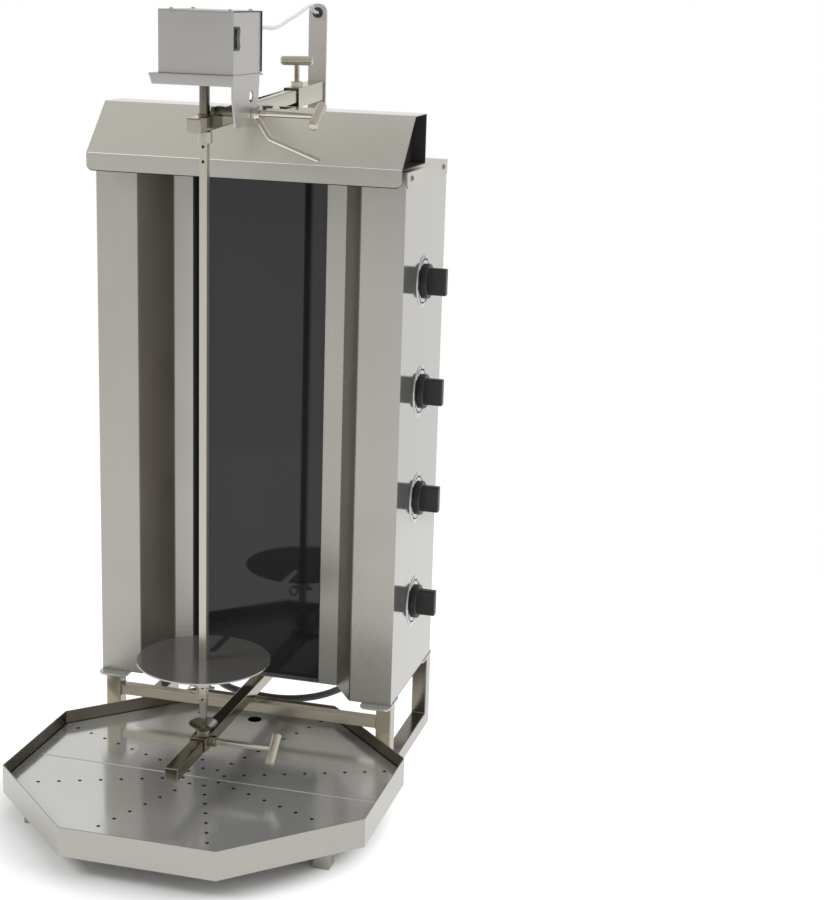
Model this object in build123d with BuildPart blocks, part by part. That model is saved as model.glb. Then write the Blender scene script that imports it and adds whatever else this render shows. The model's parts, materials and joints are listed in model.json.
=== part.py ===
from build123d import *
import os
from math import cos, pi, radians, sin, sqrt, tan

os.makedirs("parts", exist_ok=True)

# Electric doner kebab grill, in millimetres.
# +X is the right of someone facing the grill, +Y the rear, +Z up, and the feet stand on Z = 0.

# Shared sizes
overrun = 2.0  # how far a cut runs past a face
slip = 0.3  # gap between faces that slide or turn on each other
running = 0.05  # radial gap of a shaft in its bore
sheet = 1.2  # stainless sheet of the body
spit_x = -2.0  # line of the spit, the arm and the slide rail
body_front = 25.0  # front plane of the two columns

# Base frame of square tube
post = 22.0
post_wall = 1.5
post_top = 116.0
frame_width = 431.0
frame_setback = 8.0
frame_depth = 227.0
crossbar = 15.0
crossbar_wall = 1.2
crossbar_top = 92.5
crossbar_inset = 3.5
pad_width = 44.0
pad_depth = 60.0
pad_thick = 3.0
pad_round = 10.0
pad_reach = 16.0
pad_side = 3.0

# Slide rail, upper arm and their sleeve
tube = 18.0
tube_wall = 1.2
tube_cap = 1.5
rail_reach = 268.0  # rail end in front of the columns
arm_reach = 189.5  # arm end in front of the columns
arm_over_body = 63.0  # middle of the arm's front end above the body
arm_length = 434.0
arm_tilt = 2.6  # the arm's nose hangs down, degrees
sleeve_start = 373.0  # along the arm
sleeve_wall = 2.0
sleeve_pad = 4.4  # strip under the arm
sleeve_nut = 16.0
sleeve_nut_height = 7.0
sleeve_screw_in = 25.0

# Drip tray and its strainer plates
tray_width = 505.0
tray_reach = 386.5
tray_front_side = 209.0
tray_front_corner = 142.0
tray_post_gap = 0.8  # between the tray's rear corners and the front posts
tray_rear_corner = 144.0
tray_wall_height = 40.0
tray_sheet = 1.5
tray_foot_height = 28.5
tray_foot = 22.0
tray_foot_wall = 1.5
tray_foot_side = 201.0
tray_foot_front = 132.0
tray_foot_gap = 214.0
strainer_height = 20.0
strainer_sheet = 1.0
strainer_gap = 1.2
strainer_seam = 227.0
seam_gap = 1.0
strainer_centre = 229.0
drain_hole = 5.4
drain_start = 27.4
drain_step = 27.4
drain_count = 9
drain_rows_front = [drain_count, 7, 7, 7]
finger_hole = 20.0
finger_hole_reach = 434.0

# Heated body
body_over_frame = 3.0  # how much wider than the frame
body_width = frame_width + body_over_frame
body_depth = 220.0
body_top = 857.0
column = 61.0
splay_in = 33.0
splay_back = 48.0
strip = 27.0
rear_flange = 18.0
seal_show = 1.5
seal_width = 9.5
seal_thick = 11.5
glass_thick = 5.0
glass_lap = 14.0
heater_tray_depth = 40.0
insulation_thick = 18.0
heater_side = 1.0  # beside each heater, behind the strips
heater_width = body_width - 2 * (column + splay_in + strip + heater_side)
heater_height = 144.0
heater_thick = 12.0
heater_edge = 2.0
cover_flange = 20.0
cover_flange_round = 9.0
cover_flange_setback = 2.0
screw_head = 8.0
screw_head_height = 2.4
screw_drop = 9.0
screw_front = 24.0
screw_rear = 196.0
vent_length = 70.0
vent_width = 5.0
vent_step = 16.0
vent_count = 7
vent_spread = 270.0
vent_drop = 157.0

# Hood
hood_over_body = 2.0  # how much wider than the body
hood_width = body_width + hood_over_body
hood_reach = 28.0
hood_flange = 23.5
hood_flange_round = 9.0
hood_slope_run = 63.5
hood_rise = 65.0
hood_flat = 58.0
hood_floor_gap = 4.6
hood_slot = 80.0
hood_slot_edge = 6.0
hood_notch_depth = 13.0
hood_notch_side = 5.0
gusset_inset = 20.0
spacer = 12.0
spacer_inset = 28.0
spacer_side = hood_width / 2 - spacer_inset
spacer_front = 20.0
spacer_rear = 78.0

# Mast behind the body
duct_width = 100.0
duct_depth = 77.8
duct_bottom = 140.0
duct_sheet = 2.0
duct_flange = 16.0
upright_width = 27.0
upright_thick = 4.0
upright_over_arm = 143.0
upright_lap = 85.0
upright_round = 11.5
upright_hole = 11.0
upright_hole_drop = 12.5
grommet_flange = 15.0
grommet_lip = 1.6
bolt = 8.0
bolt_head = 13.0
bolt_head_height = 5.3
bolt_edge = 18.0
bolt_gap = 45.0

# Knobs, bezels and energy regulators on the right side
knob_back = 108.0  # behind the columns' front plane
knob_low = 239.0
knob_step = 154.3
knob_count = 4
knob_disc = 48.0
knob_disc_thick = 8.0
knob_grip_length = 37.0
knob_grip_width = 12.0
knob_grip_out = 23.5
knob_grip_round = 2.5
knob_edge = 1.5
knob_gap = 0.5
bezel = 62.0
bezel_thick = 1.0
shaft = 6.0
shaft_in = 24.0
neck = 10.0
regulator = 42.0
regulator_depth = 38.0
regulator_edge = 3.0

# Motor head
case_width = 96.0
case_depth = 98.0
case_over_arm = 62.2
case_height = 74.8
case_right = 53.0
case_reach = 200.0
case_sheet = 1.5
lid_lip = 10.0
bracket_sheet = 2.5
bracket_left = 9.0  # bracket plate past the case, on the left
bracket_front = 9.0
wing_gap = 0.5
bracket_lip = 10.5
bracket_lip_slant = 4.0
wing_drop = 62.2  # wing below the case
wing_straight = 28.0  # upright part of the wing's front edge
wing_depth = 94.0  # wing at the plate, front to rear
wing_foot_front = 10.0
wing_foot_rear = 6.0
wing_notch = 3.0
wing_notch_height = 9.5
wing_hole = 14.0
wing_hole_front = 65.4
wing_hole_drop = 27.0
stub_over_arm = 15.5
stub_back = 11.0  # clamp axis behind the spit axis
stub = 12.0
lug_thick = 5.0
lug_width = 30.0
lug_foot = 20.0  # lug below the clamp axis
gearbox = 62.0
gearbox_height = 28.0
gearbox_round = 6.0
motor = 52.0
motor_height = 34.0
motor_edge = 3.0
switch_width = 17.0
switch_height = 28.0
switch_frame_out = 1.6
switch_front = 9.5
switch_rise = 42.8
switch_body = 14.0
switch_rim = 1.6
switch_wall = 1.0
rocker_gap = 0.35
rocker_out = 3.6
rocker_back = 6.0
rocker_taper = 1.6
rocker_dip = 1.2
rocker_pin = 2.5

# Spit, its drive and the meat plate
spit = 10.0
spit_reach = 152.0
spit_under_arm = 13.5
spit_tip = 119.0
spit_taper = 40.0
spit_point = 5.0
spit_hole = 4.0
spit_hole_top = 892.5
spit_hole_step = 18.4
spit_hole_low = 161.0
spit_hole_low_step = 17.0
drive = 13.0
drive_in = 12.0
socket = 19.5
socket_height = 14.0
socket_under_arm = 23.0
socket_fit = 0.3
socket_roof = 1.6
bush_wall = 1.15
bush_show = 2.2
plate = 177.0
plate_height = 218.0
plate_thick = 2.0
plate_slot = 11.0
hub = 20.0
plate_slot_start = 28.0
pin_length = 30.0
pin_ring = 15.0
pin_ring_wire = 2.0

# Collar and cup under the spit
collar_length = 46.0
collar_wall = 2.2
collar_skirt = 1.5
cup = 40.0
cup_height = 13.0
cup_wall = 1.6
cup_foot = 18.0
cup_foot_height = 3.5

# Clamp handles: a screw with a cross bar
handle_rod = 8.0
handle_bar = 13.0
handle_bar_length = 46.5
handle_bar_round = 4.5
handle_nut = 13.0
handle_nut_height = 6.5
collar_rod = 90.0  # from the rail to the cross bar
collar_turn = 45.0
clamp_rod = 84.0  # from the wing to the cross bar
clamp_rod_in = 16.0
clamp_turn = 33.0
sleeve_rod = 38.0  # from the arm to the cross bar
sleeve_turn = 20.0
lever_rod = 7.0
lever_eye = 18.0
lever_eye_thick = 4.0
lever_eye_gap = 0.4
lever_forward = 4.0
lever_knee_out = 24.0
lever_knee_drop = 30.0
lever_tip_out = 88.0
lever_tip_drop = 53.0
lever_bend = 12.0

# Motor lead and mains lead
lead = 5.0
lead_bush = 9.0
lead_bush_out = 6.0
lead_exit_side = 8.0
lead_exit_rise = 54.3
lead_entry_side = 30.0
lead_entry_drop = 52.0
lead_hang = 19.0  # how far the lead stands off the duct behind the upright
lead_turn = 21.0
mains = 11.0
gland = 22.0
gland_nut = 26.0
gland_nut_thick = 6.0
gland_out = 24.0
gland_shank = 16.0
gland_shank_in = 8.0
gland_edge = 3.0
gland_inset = 52.0
gland_side = body_width / 2 - gland_inset
gland_rise = 42.0
gland_run = 40.0  # straight lead behind the gland
coil_radius = 55.0
coil_pitch = 11.6
coil_half_turns = 3  # in each layer
coil_side = 72.0
coil_behind = 400.0
plug_beside = 110.0
plug_ahead = 4.0
bend_share = 0.45  # of the shorter run beside a bend
plug_body = 40.0
plug_length = 52.0
plug_neck = 18.0
plug_shoulder = 30.0
plug_neck_length = 26.0
plug_pin = 4.8
plug_pin_length = 19.0
plug_pin_gap = 19.0

# Places that follow from the sizes
frame_front = body_front + frame_setback
frame_rear = frame_front + frame_depth
frame_inner = frame_width / 2 - post
body_bottom = post_top + pad_thick
body_rear = body_front + body_depth
body_side = body_width / 2
panel_bottom = body_bottom + sheet
strip_outer = body_side - column - splay_in
glass_edge = strip_outer - strip
strip_front = body_front + splay_back
glass_front = strip_front + sheet + seal_thick
glass_half = glass_edge + glass_lap
heater_front = glass_front + glass_thick
rail_front = body_front - rail_reach
rail_middle = crossbar_top + tube / 2
arm_front = body_front - arm_reach
arm_height = body_top + arm_over_body
case_bottom = arm_height + case_over_arm
stub_height = arm_height + stub_over_arm
spit_top = arm_height - spit_under_arm
socket_bottom = arm_height - socket_under_arm
upright_top = arm_height + upright_over_arm
spit_y = body_front - spit_reach
tray_front = body_front - tray_reach
tray_bottom = tray_foot_height
duct_rear = body_rear + sheet + duct_depth
stub_y = spit_y + stub_back
wing_right = case_right + wing_gap + bracket_sheet
case_front = body_front - case_reach
case_left = case_right - case_width
case_rear = case_front + case_depth
knob_y = body_front + knob_back

arm_rise = sin(radians(arm_tilt))
arm_run = cos(radians(arm_tilt))
arm_plane = Plane(origin=(spit_x, arm_front, arm_height), x_dir=(-1, 0, 0), z_dir=(0, arm_run, arm_rise))

# Side frames: a front post, a rear post and a floor rail of one tube
with BuildPart() as side_frame_right:
    with BuildSketch(Plane.YZ.offset(frame_inner)):
        with Locations((frame_front + frame_depth / 2, 0)):
            Rectangle(frame_depth, post_top, align=(Align.CENTER, Align.MIN))
        with Locations((frame_front + frame_depth / 2, post)):
            Rectangle(frame_depth - 2 * post, post_top, align=(Align.CENTER, Align.MIN), mode=Mode.SUBTRACT)
    extrude(amount=post)
    with BuildSketch(Plane.YZ.offset(frame_inner + post_wall)):
        with Locations((frame_front + frame_depth / 2, post_wall)):
            Rectangle(frame_depth - 2 * post_wall, post_top, align=(Align.CENTER, Align.MIN))
        with Locations((frame_front + frame_depth / 2, post - post_wall)):
            Rectangle(
                frame_depth - 2 * post + 2 * post_wall, post_top, align=(Align.CENTER, Align.MIN), mode=Mode.SUBTRACT
            )
    extrude(amount=post - 2 * post_wall, mode=Mode.SUBTRACT)
side_frame_right.part.label = "side_frame_right"
export_step(side_frame_right.part, "parts/side_frame_right.step")

with BuildPart() as side_frame_left:
    mirror(side_frame_right.part, about=Plane.YZ)
side_frame_left.part.label = "side_frame_left"
export_step(side_frame_left.part, "parts/side_frame_left.step")

# Pads on the four posts carry the body
with BuildPart() as post_pads:
    with BuildSketch(Plane.XY.offset(post_top)):
        with Locations((frame_width / 2 + pad_side - pad_width / 2, body_front - pad_reach + pad_depth / 2)):
            RectangleRounded(pad_width, pad_depth, pad_round)
        with Locations((frame_width / 2 + pad_side - pad_width / 2, frame_rear - pad_depth / 2)):
            RectangleRounded(pad_width, pad_depth, pad_round)
        mirror(about=Plane.YZ)
    extrude(amount=pad_thick)
post_pads.part.label = "post_pads"
export_step(post_pads.part, "parts/post_pads.step")

# Front and rear cross bars between the side frames
with BuildPart() as crossbars:
    with BuildSketch(Plane.YZ.offset(-frame_inner)):
        with Locations((frame_front + frame_depth / 2, crossbar_top - crossbar / 2)):
            with GridLocations(frame_depth - 2 * crossbar_inset - crossbar, 0, 2, 1):
                Rectangle(crossbar, crossbar)
                Rectangle(crossbar - 2 * crossbar_wall, crossbar - 2 * crossbar_wall, mode=Mode.SUBTRACT)
    extrude(amount=2 * frame_inner)
crossbars.part.label = "crossbars"
export_step(crossbars.part, "parts/crossbars.step")

# Slide rail on the cross bars, out over the tray
rail_plane = Plane(origin=(spit_x, rail_front, rail_middle), x_dir=(-1, 0, 0), z_dir=(0, 1, 0))
rail_length = frame_rear - crossbar_inset - rail_front
with BuildPart() as slide_rail:
    with BuildSketch(rail_plane):
        Rectangle(tube, tube)
    extrude(amount=rail_length)
    with BuildSketch(rail_plane.offset(tube_cap)):
        Rectangle(tube - 2 * tube_wall, tube - 2 * tube_wall)
    extrude(amount=rail_length, mode=Mode.SUBTRACT)
slide_rail.part.label = "slide_rail"
export_step(slide_rail.part, "parts/slide_rail.step")

# Eight-sided drip tray on four short feet
tray_half = tray_width / 2
tray_rear_half = tray_half - tray_rear_corner
tray_corner_y = tray_front + tray_front_corner
tray_rear_y = frame_inner + frame_front - tray_half - sqrt(2) * tray_post_gap
tray_outline = [
    (tray_front_side / 2, tray_front),
    (tray_half, tray_corner_y),
    (tray_half, tray_rear_y),
    (tray_rear_half, tray_rear_y + tray_rear_corner),
    (-tray_rear_half, tray_rear_y + tray_rear_corner),
    (-tray_half, tray_rear_y),
    (-tray_half, tray_corner_y),
    (-tray_front_side / 2, tray_front),
]
with BuildPart() as drip_tray:
    with BuildSketch(Plane.XY.offset(tray_bottom)):
        with BuildLine():
            Polyline(*tray_outline, close=True)
        make_face()
    extrude(amount=tray_wall_height)
    with BuildSketch(Plane.XY.offset(tray_bottom + tray_sheet)):
        with BuildLine():
            Polyline(*tray_outline, close=True)
        make_face()
        offset(amount=-tray_sheet, kind=Kind.INTERSECTION, mode=Mode.REPLACE)
    extrude(amount=tray_wall_height, mode=Mode.SUBTRACT)
drip_tray.part.label = "drip_tray"
export_step(drip_tray.part, "parts/drip_tray.step")

with BuildPart() as tray_feet:
    with BuildSketch(Plane.XY):
        with Locations((0, tray_front + tray_foot_front + tray_foot_gap / 2)):
            with GridLocations(2 * tray_foot_side, tray_foot_gap, 2, 2):
                Rectangle(tray_foot, tray_foot)
                Rectangle(tray_foot - 2 * tray_foot_wall, tray_foot - 2 * tray_foot_wall, mode=Mode.SUBTRACT)
    extrude(amount=tray_foot_height)
tray_feet.part.label = "tray_feet"
export_step(tray_feet.part, "parts/tray_feet.step")

# Two perforated strainer plates with turned-down rims, parted across the tray
strainer_bottom = tray_bottom + tray_sheet
seam_y = tray_front + strainer_seam
with BuildPart() as strainer_front:
    with BuildSketch(Plane.XY.offset(strainer_bottom)):
        with BuildLine():
            Polyline(*tray_outline, close=True)
        make_face()
        offset(amount=-tray_sheet - strainer_gap, kind=Kind.INTERSECTION, mode=Mode.REPLACE)
        with Locations((0, seam_y - seam_gap / 2)):
            Rectangle(tray_width, tray_width, align=(Align.CENTER, Align.MIN), mode=Mode.SUBTRACT)
    extrude(amount=strainer_height)
    offset(amount=-strainer_sheet, openings=strainer_front.faces().sort_by(Axis.Z)[0])
    with BuildSketch(Plane.XY.offset(strainer_bottom + strainer_height - strainer_sheet - overrun)):
        with Locations((0, tray_front + strainer_centre)):
            for row, count in enumerate(drain_rows_front, 4):
                with PolarLocations(drain_start, 1, start_angle=45 * row + 22.5):
                    with GridLocations(drain_step, 0, count, 1, align=(Align.MIN, Align.CENTER)):
                        RegularPolygon(drain_hole / 2, 8)
    extrude(amount=strainer_sheet + 2 * overrun, mode=Mode.SUBTRACT)
strainer_front.part.label = "strainer_front"
export_step(strainer_front.part, "parts/strainer_front.step")

with BuildPart() as strainer_rear:
    with BuildSketch(Plane.XY.offset(strainer_bottom)):
        with BuildLine():
            Polyline(*tray_outline, close=True)
        make_face()
        offset(amount=-tray_sheet - strainer_gap, kind=Kind.INTERSECTION, mode=Mode.REPLACE)
        with Locations((0, seam_y + seam_gap / 2)):
            Rectangle(tray_width, tray_width, align=(Align.CENTER, Align.MAX), mode=Mode.SUBTRACT)
    extrude(amount=strainer_height)
    offset(amount=-strainer_sheet, openings=strainer_rear.faces().sort_by(Axis.Z)[0])
    with BuildSketch(Plane.XY.offset(strainer_bottom + strainer_height - strainer_sheet - overrun)):
        with Locations((0, tray_front + strainer_centre)):
            for row in range(4):
                with PolarLocations(drain_start, 1, start_angle=45 * row + 22.5):
                    with GridLocations(drain_step, 0, drain_count, 1, align=(Align.MIN, Align.CENTER)):
                        RegularPolygon(drain_hole / 2, 8)
        with Locations((0, tray_front + finger_hole_reach)):
            Circle(finger_hole / 2)
    extrude(amount=strainer_sheet + 2 * overrun, mode=Mode.SUBTRACT)
strainer_rear.part.label = "strainer_rear"
export_step(strainer_rear.part, "parts/strainer_rear.step")

# Plan of the body: columns, splayed cheeks and glass strips, right half from rear to front
cheek_line = [
    (body_side, body_front),
    (body_side - column, body_front),
    (strip_outer, strip_front),
    (glass_edge, strip_front),
]
body_outline = [(body_side, body_rear)] + cheek_line
body_outline = body_outline + [(-x, y) for x, y in reversed(body_outline)]

with BuildPart() as bottom_plate:
    with BuildSketch(Plane.XY.offset(body_bottom)):
        with BuildLine():
            Polyline(*body_outline, close=True)
        make_face()
    extrude(amount=sheet)
bottom_plate.part.label = "bottom_plate"
export_step(bottom_plate.part, "parts/bottom_plate.step")

# Each side is one folded sheet: rear flange, side, column, cheek and glass strip
with BuildPart() as side_panel_right:
    with BuildSketch(Plane.XY.offset(panel_bottom)):
        with BuildLine():
            Polyline((body_side - rear_flange, body_rear), (body_side, body_rear), *cheek_line)
            offset(amount=sheet, side=Side.RIGHT, kind=Kind.INTERSECTION)
        make_face()
    extrude(amount=body_top - panel_bottom)
    with BuildSketch(Plane.YZ.offset(body_side - sheet - overrun)):
        with Locations((knob_y, knob_low)):
            with GridLocations(0, knob_step, 1, knob_count, align=(Align.CENTER, Align.MIN)):
                Circle(neck / 2 + slip)
    extrude(amount=sheet + 2 * overrun, mode=Mode.SUBTRACT)
side_panel_right.part.label = "side_panel_right"
export_step(side_panel_right.part, "parts/side_panel_right.step")

with BuildPart() as side_panel_left:
    with BuildSketch(Plane.XY.offset(panel_bottom)):
        with BuildLine():
            Polyline((body_side - rear_flange, body_rear), (body_side, body_rear), *cheek_line)
            offset(amount=sheet, side=Side.RIGHT, kind=Kind.INTERSECTION)
        make_face()
        mirror(about=Plane.YZ, mode=Mode.REPLACE)
    extrude(amount=body_top - panel_bottom)
side_panel_left.part.label = "side_panel_left"
export_step(side_panel_left.part, "parts/side_panel_left.step")

# Black seals between the strips and the glass
with BuildPart() as glass_seals:
    with BuildSketch(Plane.XY.offset(panel_bottom)):
        with Locations((glass_edge - seal_show, strip_front + sheet)):
            Rectangle(seal_width, seal_thick, align=(Align.MIN, Align.MIN))
        mirror(about=Plane.YZ)
    extrude(amount=body_top - panel_bottom)
glass_seals.part.label = "glass_seals"
export_step(glass_seals.part, "parts/glass_seals.step")

with BuildPart() as glass_panel:
    with BuildSketch(Plane.XY.offset(panel_bottom)):
        with Locations((0, glass_front)):
            Rectangle(2 * glass_half, glass_thick, align=(Align.CENTER, Align.MIN))
    extrude(amount=body_top - panel_bottom)
glass_panel.part.label = "glass_panel"
export_step(glass_panel.part, "parts/glass_panel.step")

# Heater tray behind the glass, open to the front
with BuildPart() as heater_tray:
    with BuildSketch(Plane.XY.offset(panel_bottom)):
        with Locations((0, heater_front)):
            Rectangle(2 * glass_half, heater_tray_depth, align=(Align.CENTER, Align.MIN))
    extrude(amount=body_top - panel_bottom)
    offset(amount=-sheet, openings=heater_tray.faces().sort_by(Axis.Y)[0])
heater_tray.part.label = "heater_tray"
export_step(heater_tray.part, "parts/heater_tray.step")

insulation_front = heater_front + heater_tray_depth - sheet - insulation_thick
with BuildPart() as insulation:
    with BuildSketch(Plane.XY.offset(panel_bottom + sheet)):
        with Locations((0, insulation_front)):
            Rectangle(2 * glass_half - 2 * sheet, insulation_thick, align=(Align.CENTER, Align.MIN))
    extrude(amount=body_top - panel_bottom - 2 * sheet)
insulation.part.label = "insulation"
export_step(insulation.part, "parts/insulation.step")

# Four radiant heaters, one for each knob
with BuildPart() as heaters:
    with BuildSketch(Plane.XZ.offset(-insulation_front)):
        with Locations((0, knob_low)):
            with GridLocations(0, knob_step, 1, knob_count, align=(Align.CENTER, Align.MIN)):
                Rectangle(heater_width, heater_height)
    extrude(amount=heater_thick)
    chamfer(heaters.faces().group_by(Axis.Y)[0].edges(), length=heater_edge)
heaters.part.label = "heaters"
export_step(heaters.part, "parts/heaters.step")

with BuildPart() as rear_panel:
    with BuildSketch(Plane.XZ.offset(-body_rear)):
        with Locations((0, panel_bottom)):
            Rectangle(body_width, body_top - panel_bottom, align=(Align.CENTER, Align.MIN))
        with Locations((0, body_top - vent_drop)):
            with GridLocations(vent_spread, vent_step, 2, vent_count):
                SlotOverall(vent_length, vent_width, mode=Mode.SUBTRACT)
        with Locations((-gland_side, body_bottom + gland_rise)):
            Circle(gland_shank / 2 + running, mode=Mode.SUBTRACT)
    extrude(amount=-sheet)
rear_panel.part.label = "rear_panel"
export_step(rear_panel.part, "parts/rear_panel.step")

# Top cover with turned-down side flanges
with BuildPart() as top_cover:
    with BuildSketch(Plane.XY.offset(body_top)):
        with BuildLine():
            Polyline(*body_outline, close=True)
        make_face()
    extrude(amount=sheet)
    with BuildSketch(Plane.YZ.offset(body_side)) as cover_side:
        with Locations((body_front + cover_flange_setback, body_top + sheet)):
            Rectangle(body_depth - cover_flange_setback, cover_flange + sheet, align=(Align.MIN, Align.MAX))
        fillet(cover_side.vertices().group_by(Axis.X)[0].sort_by(Axis.Y)[0], cover_flange_round)
    extrude(amount=sheet)
    mirror(about=Plane.YZ)
top_cover.part.label = "top_cover"
export_step(top_cover.part, "parts/top_cover.step")

with BuildPart() as cover_screws:
    with BuildSketch(Plane.YZ.offset(body_side + sheet)):
        with Locations(
            (body_front + screw_front, body_top + sheet - screw_drop),
            (body_front + screw_rear, body_top + sheet - screw_drop),
        ):
            Circle(screw_head / 2)
    extrude(amount=screw_head_height)
    fillet(cover_screws.edges().group_by(Axis.X)[-1], screw_head_height / 2)
    mirror(about=Plane.YZ)
cover_screws.part.label = "cover_screws"
export_step(cover_screws.part, "parts/cover_screws.step")

# Hood: front flange, slope, flat top and rear wall of one folded sheet
hood_front = body_front - hood_reach
hood_fold = body_top + 2 * sheet + hood_floor_gap
hood_top = hood_fold + hood_rise
hood_crest = hood_front + hood_slope_run
hood_rear = hood_crest + hood_flat
hood_side = hood_width / 2
hood_line = [
    (hood_front, hood_fold - hood_flange),
    (hood_front, hood_fold),
    (hood_crest, hood_top),
    (hood_rear, hood_top),
    (hood_rear, hood_fold),
]
with BuildPart() as hood:
    with BuildSketch(Plane.YZ.offset(-hood_side)):
        with BuildLine():
            Polyline(*hood_line)
            offset(amount=sheet, side=Side.RIGHT, kind=Kind.INTERSECTION)
        make_face()
    extrude(amount=hood_width)
    fillet(
        hood.edges().filter_by(Axis.Y).group_by(Axis.Z)[0].filter_by_position(Axis.Y, hood_front, hood_front + sheet),
        hood_flange_round,
    )
    with BuildSketch(Plane.XY.offset(hood_top - hood_notch_depth)):
        with Locations((spit_x, hood_front)):
            Rectangle(
                tube + 2 * hood_notch_side, hood_slope_run + hood_flat + overrun, align=(Align.CENTER, Align.MIN)
            )
    extrude(amount=hood_notch_depth + overrun, mode=Mode.SUBTRACT)
    with BuildSketch(Plane.XY.offset(hood_top - 2 * sheet)):
        with Locations((spit_x, hood_crest + hood_flat / 2)):
            Rectangle(hood_slot, hood_flat - 2 * hood_slot_edge)
    extrude(amount=2 * sheet + overrun, mode=Mode.SUBTRACT)
hood.part.label = "hood"
export_step(hood.part, "parts/hood.step")

# Floor of the hood, with welded end gussets and four stand-offs on the top cover
with BuildPart() as hood_floor:
    with BuildSketch(Plane.XY.offset(hood_fold - sheet)):
        with Locations((0, hood_front + 2 * sheet)):
            Rectangle(hood_width, hood_rear - hood_front - 2 * sheet, align=(Align.CENTER, Align.MIN))
    extrude(amount=sheet)
    with BuildSketch(Plane.YZ.offset(hood_side - gusset_inset)):
        with BuildLine():
            Polyline(
                (hood_front - sheet * hood_slope_run / hood_rise, hood_fold - sheet),
                (hood_crest, hood_top),
                (hood_rear, hood_top),
                (hood_rear, hood_fold - sheet),
                close=True,
            )
        make_face()
        offset(amount=-sheet, kind=Kind.INTERSECTION, mode=Mode.REPLACE)
    extrude(amount=-sheet)
    mirror(about=Plane.YZ)
    with BuildSketch(Plane.XY.offset(body_top + sheet)):
        with Locations((0, body_front + (spacer_front + spacer_rear) / 2)):
            with GridLocations(2 * spacer_side, spacer_rear - spacer_front, 2, 2):
                Circle(spacer / 2)
    extrude(amount=hood_floor_gap)
hood_floor.part.label = "hood_floor"
export_step(hood_floor.part, "parts/hood_floor.step")

# Mast: a channel on the rear panel, an upright bolted to it and the sleeve welded to the upright
upright_bottom = body_top - upright_lap
upright_rear = duct_rear + upright_thick
lead_entry_x = spit_x + lead_entry_side
lead_entry_z = body_top - lead_entry_drop
bolt_low = upright_bottom + bolt_edge
with BuildPart() as mast_duct:
    with BuildSketch(Plane.XY.offset(duct_bottom)):
        with Locations((spit_x, duct_rear)):
            Rectangle(duct_width, duct_depth, align=(Align.CENTER, Align.MAX))
    extrude(amount=body_top - duct_bottom)
    offset(amount=-duct_sheet, openings=mast_duct.faces().sort_by(Axis.Y)[0])
    with BuildSketch(Plane.XY.offset(duct_bottom)):
        with Locations((spit_x, body_rear + sheet)):
            with GridLocations(duct_width + duct_flange, 0, 2, 1):
                Rectangle(duct_flange, duct_sheet, align=(Align.CENTER, Align.MIN))
    extrude(amount=body_top - duct_bottom)
    with BuildSketch(Plane.XZ.offset(-duct_rear)):
        with Locations((spit_x, bolt_low)):
            with GridLocations(0, bolt_gap, 1, 2, align=(Align.CENTER, Align.MIN)):
                Circle(bolt / 2 + running)
    extrude(amount=duct_sheet, both=True, mode=Mode.SUBTRACT)
mast_duct.part.label = "mast_duct"
export_step(mast_duct.part, "parts/mast_duct.step")

with BuildPart() as upright:
    with BuildSketch(Plane.XZ.offset(-duct_rear)) as upright_face:
        with Locations((spit_x, upright_bottom)):
            Rectangle(upright_width, upright_top - upright_bottom, align=(Align.CENTER, Align.MIN))
        fillet(upright_face.vertices().group_by(Axis.Y)[-1], upright_round)
        with Locations((spit_x, upright_top - upright_hole_drop)):
            Circle(upright_hole / 2, mode=Mode.SUBTRACT)
        with Locations((spit_x, bolt_low)):
            with GridLocations(0, bolt_gap, 1, 2, align=(Align.CENTER, Align.MIN)):
                Circle(bolt / 2 + running, mode=Mode.SUBTRACT)
    extrude(amount=-upright_thick)
upright.part.label = "upright"
export_step(upright.part, "parts/upright.step")

with BuildPart() as mast_bolts:
    with BuildSketch(Plane.XZ.offset(-upright_rear)):
        with Locations((spit_x, bolt_low)):
            with GridLocations(0, bolt_gap, 1, 2, align=(Align.CENTER, Align.MIN)):
                RegularPolygon(bolt_head / 2, 6, major_radius=False)
    extrude(amount=-bolt_head_height)
    with BuildSketch(Plane.XZ.offset(-upright_rear)):
        with Locations((spit_x, bolt_low)):
            with GridLocations(0, bolt_gap, 1, 2, align=(Align.CENTER, Align.MIN)):
                Circle(bolt / 2)
    extrude(amount=upright_thick + duct_sheet)
mast_bolts.part.label = "mast_bolts"
export_step(mast_bolts.part, "parts/mast_bolts.step")

# Rubber grommets of the motor lead: in the upright and on the channel
with BuildPart() as lead_grommets:
    with BuildSketch(Plane.XZ.offset(-duct_rear + grommet_lip)):
        with Locations((spit_x, upright_top - upright_hole_drop)):
            Circle(grommet_flange / 2)
    extrude(amount=-grommet_lip)
    with BuildSketch(Plane.XZ.offset(-duct_rear)):
        with Locations((spit_x, upright_top - upright_hole_drop)):
            Circle(upright_hole / 2 - running)
    extrude(amount=-upright_thick)
    with BuildSketch(Plane.XZ.offset(-upright_rear)):
        with Locations((spit_x, upright_top - upright_hole_drop)):
            Circle(grommet_flange / 2)
    extrude(amount=-grommet_lip)
    with BuildSketch(Plane.XZ.offset(-duct_rear)):
        with Locations((spit_x, upright_top - upright_hole_drop)):
            Circle(lead / 2 + running)
    extrude(amount=upright_thick + 2 * grommet_lip, both=True, mode=Mode.SUBTRACT)
    with BuildSketch(Plane.XZ.offset(-duct_rear)):
        with Locations((lead_entry_x, lead_entry_z)):
            Circle(lead_bush / 2)
    extrude(amount=-lead_bush_out)
lead_grommets.part.label = "lead_grommets"
export_step(lead_grommets.part, "parts/lead_grommets.step")

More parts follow.
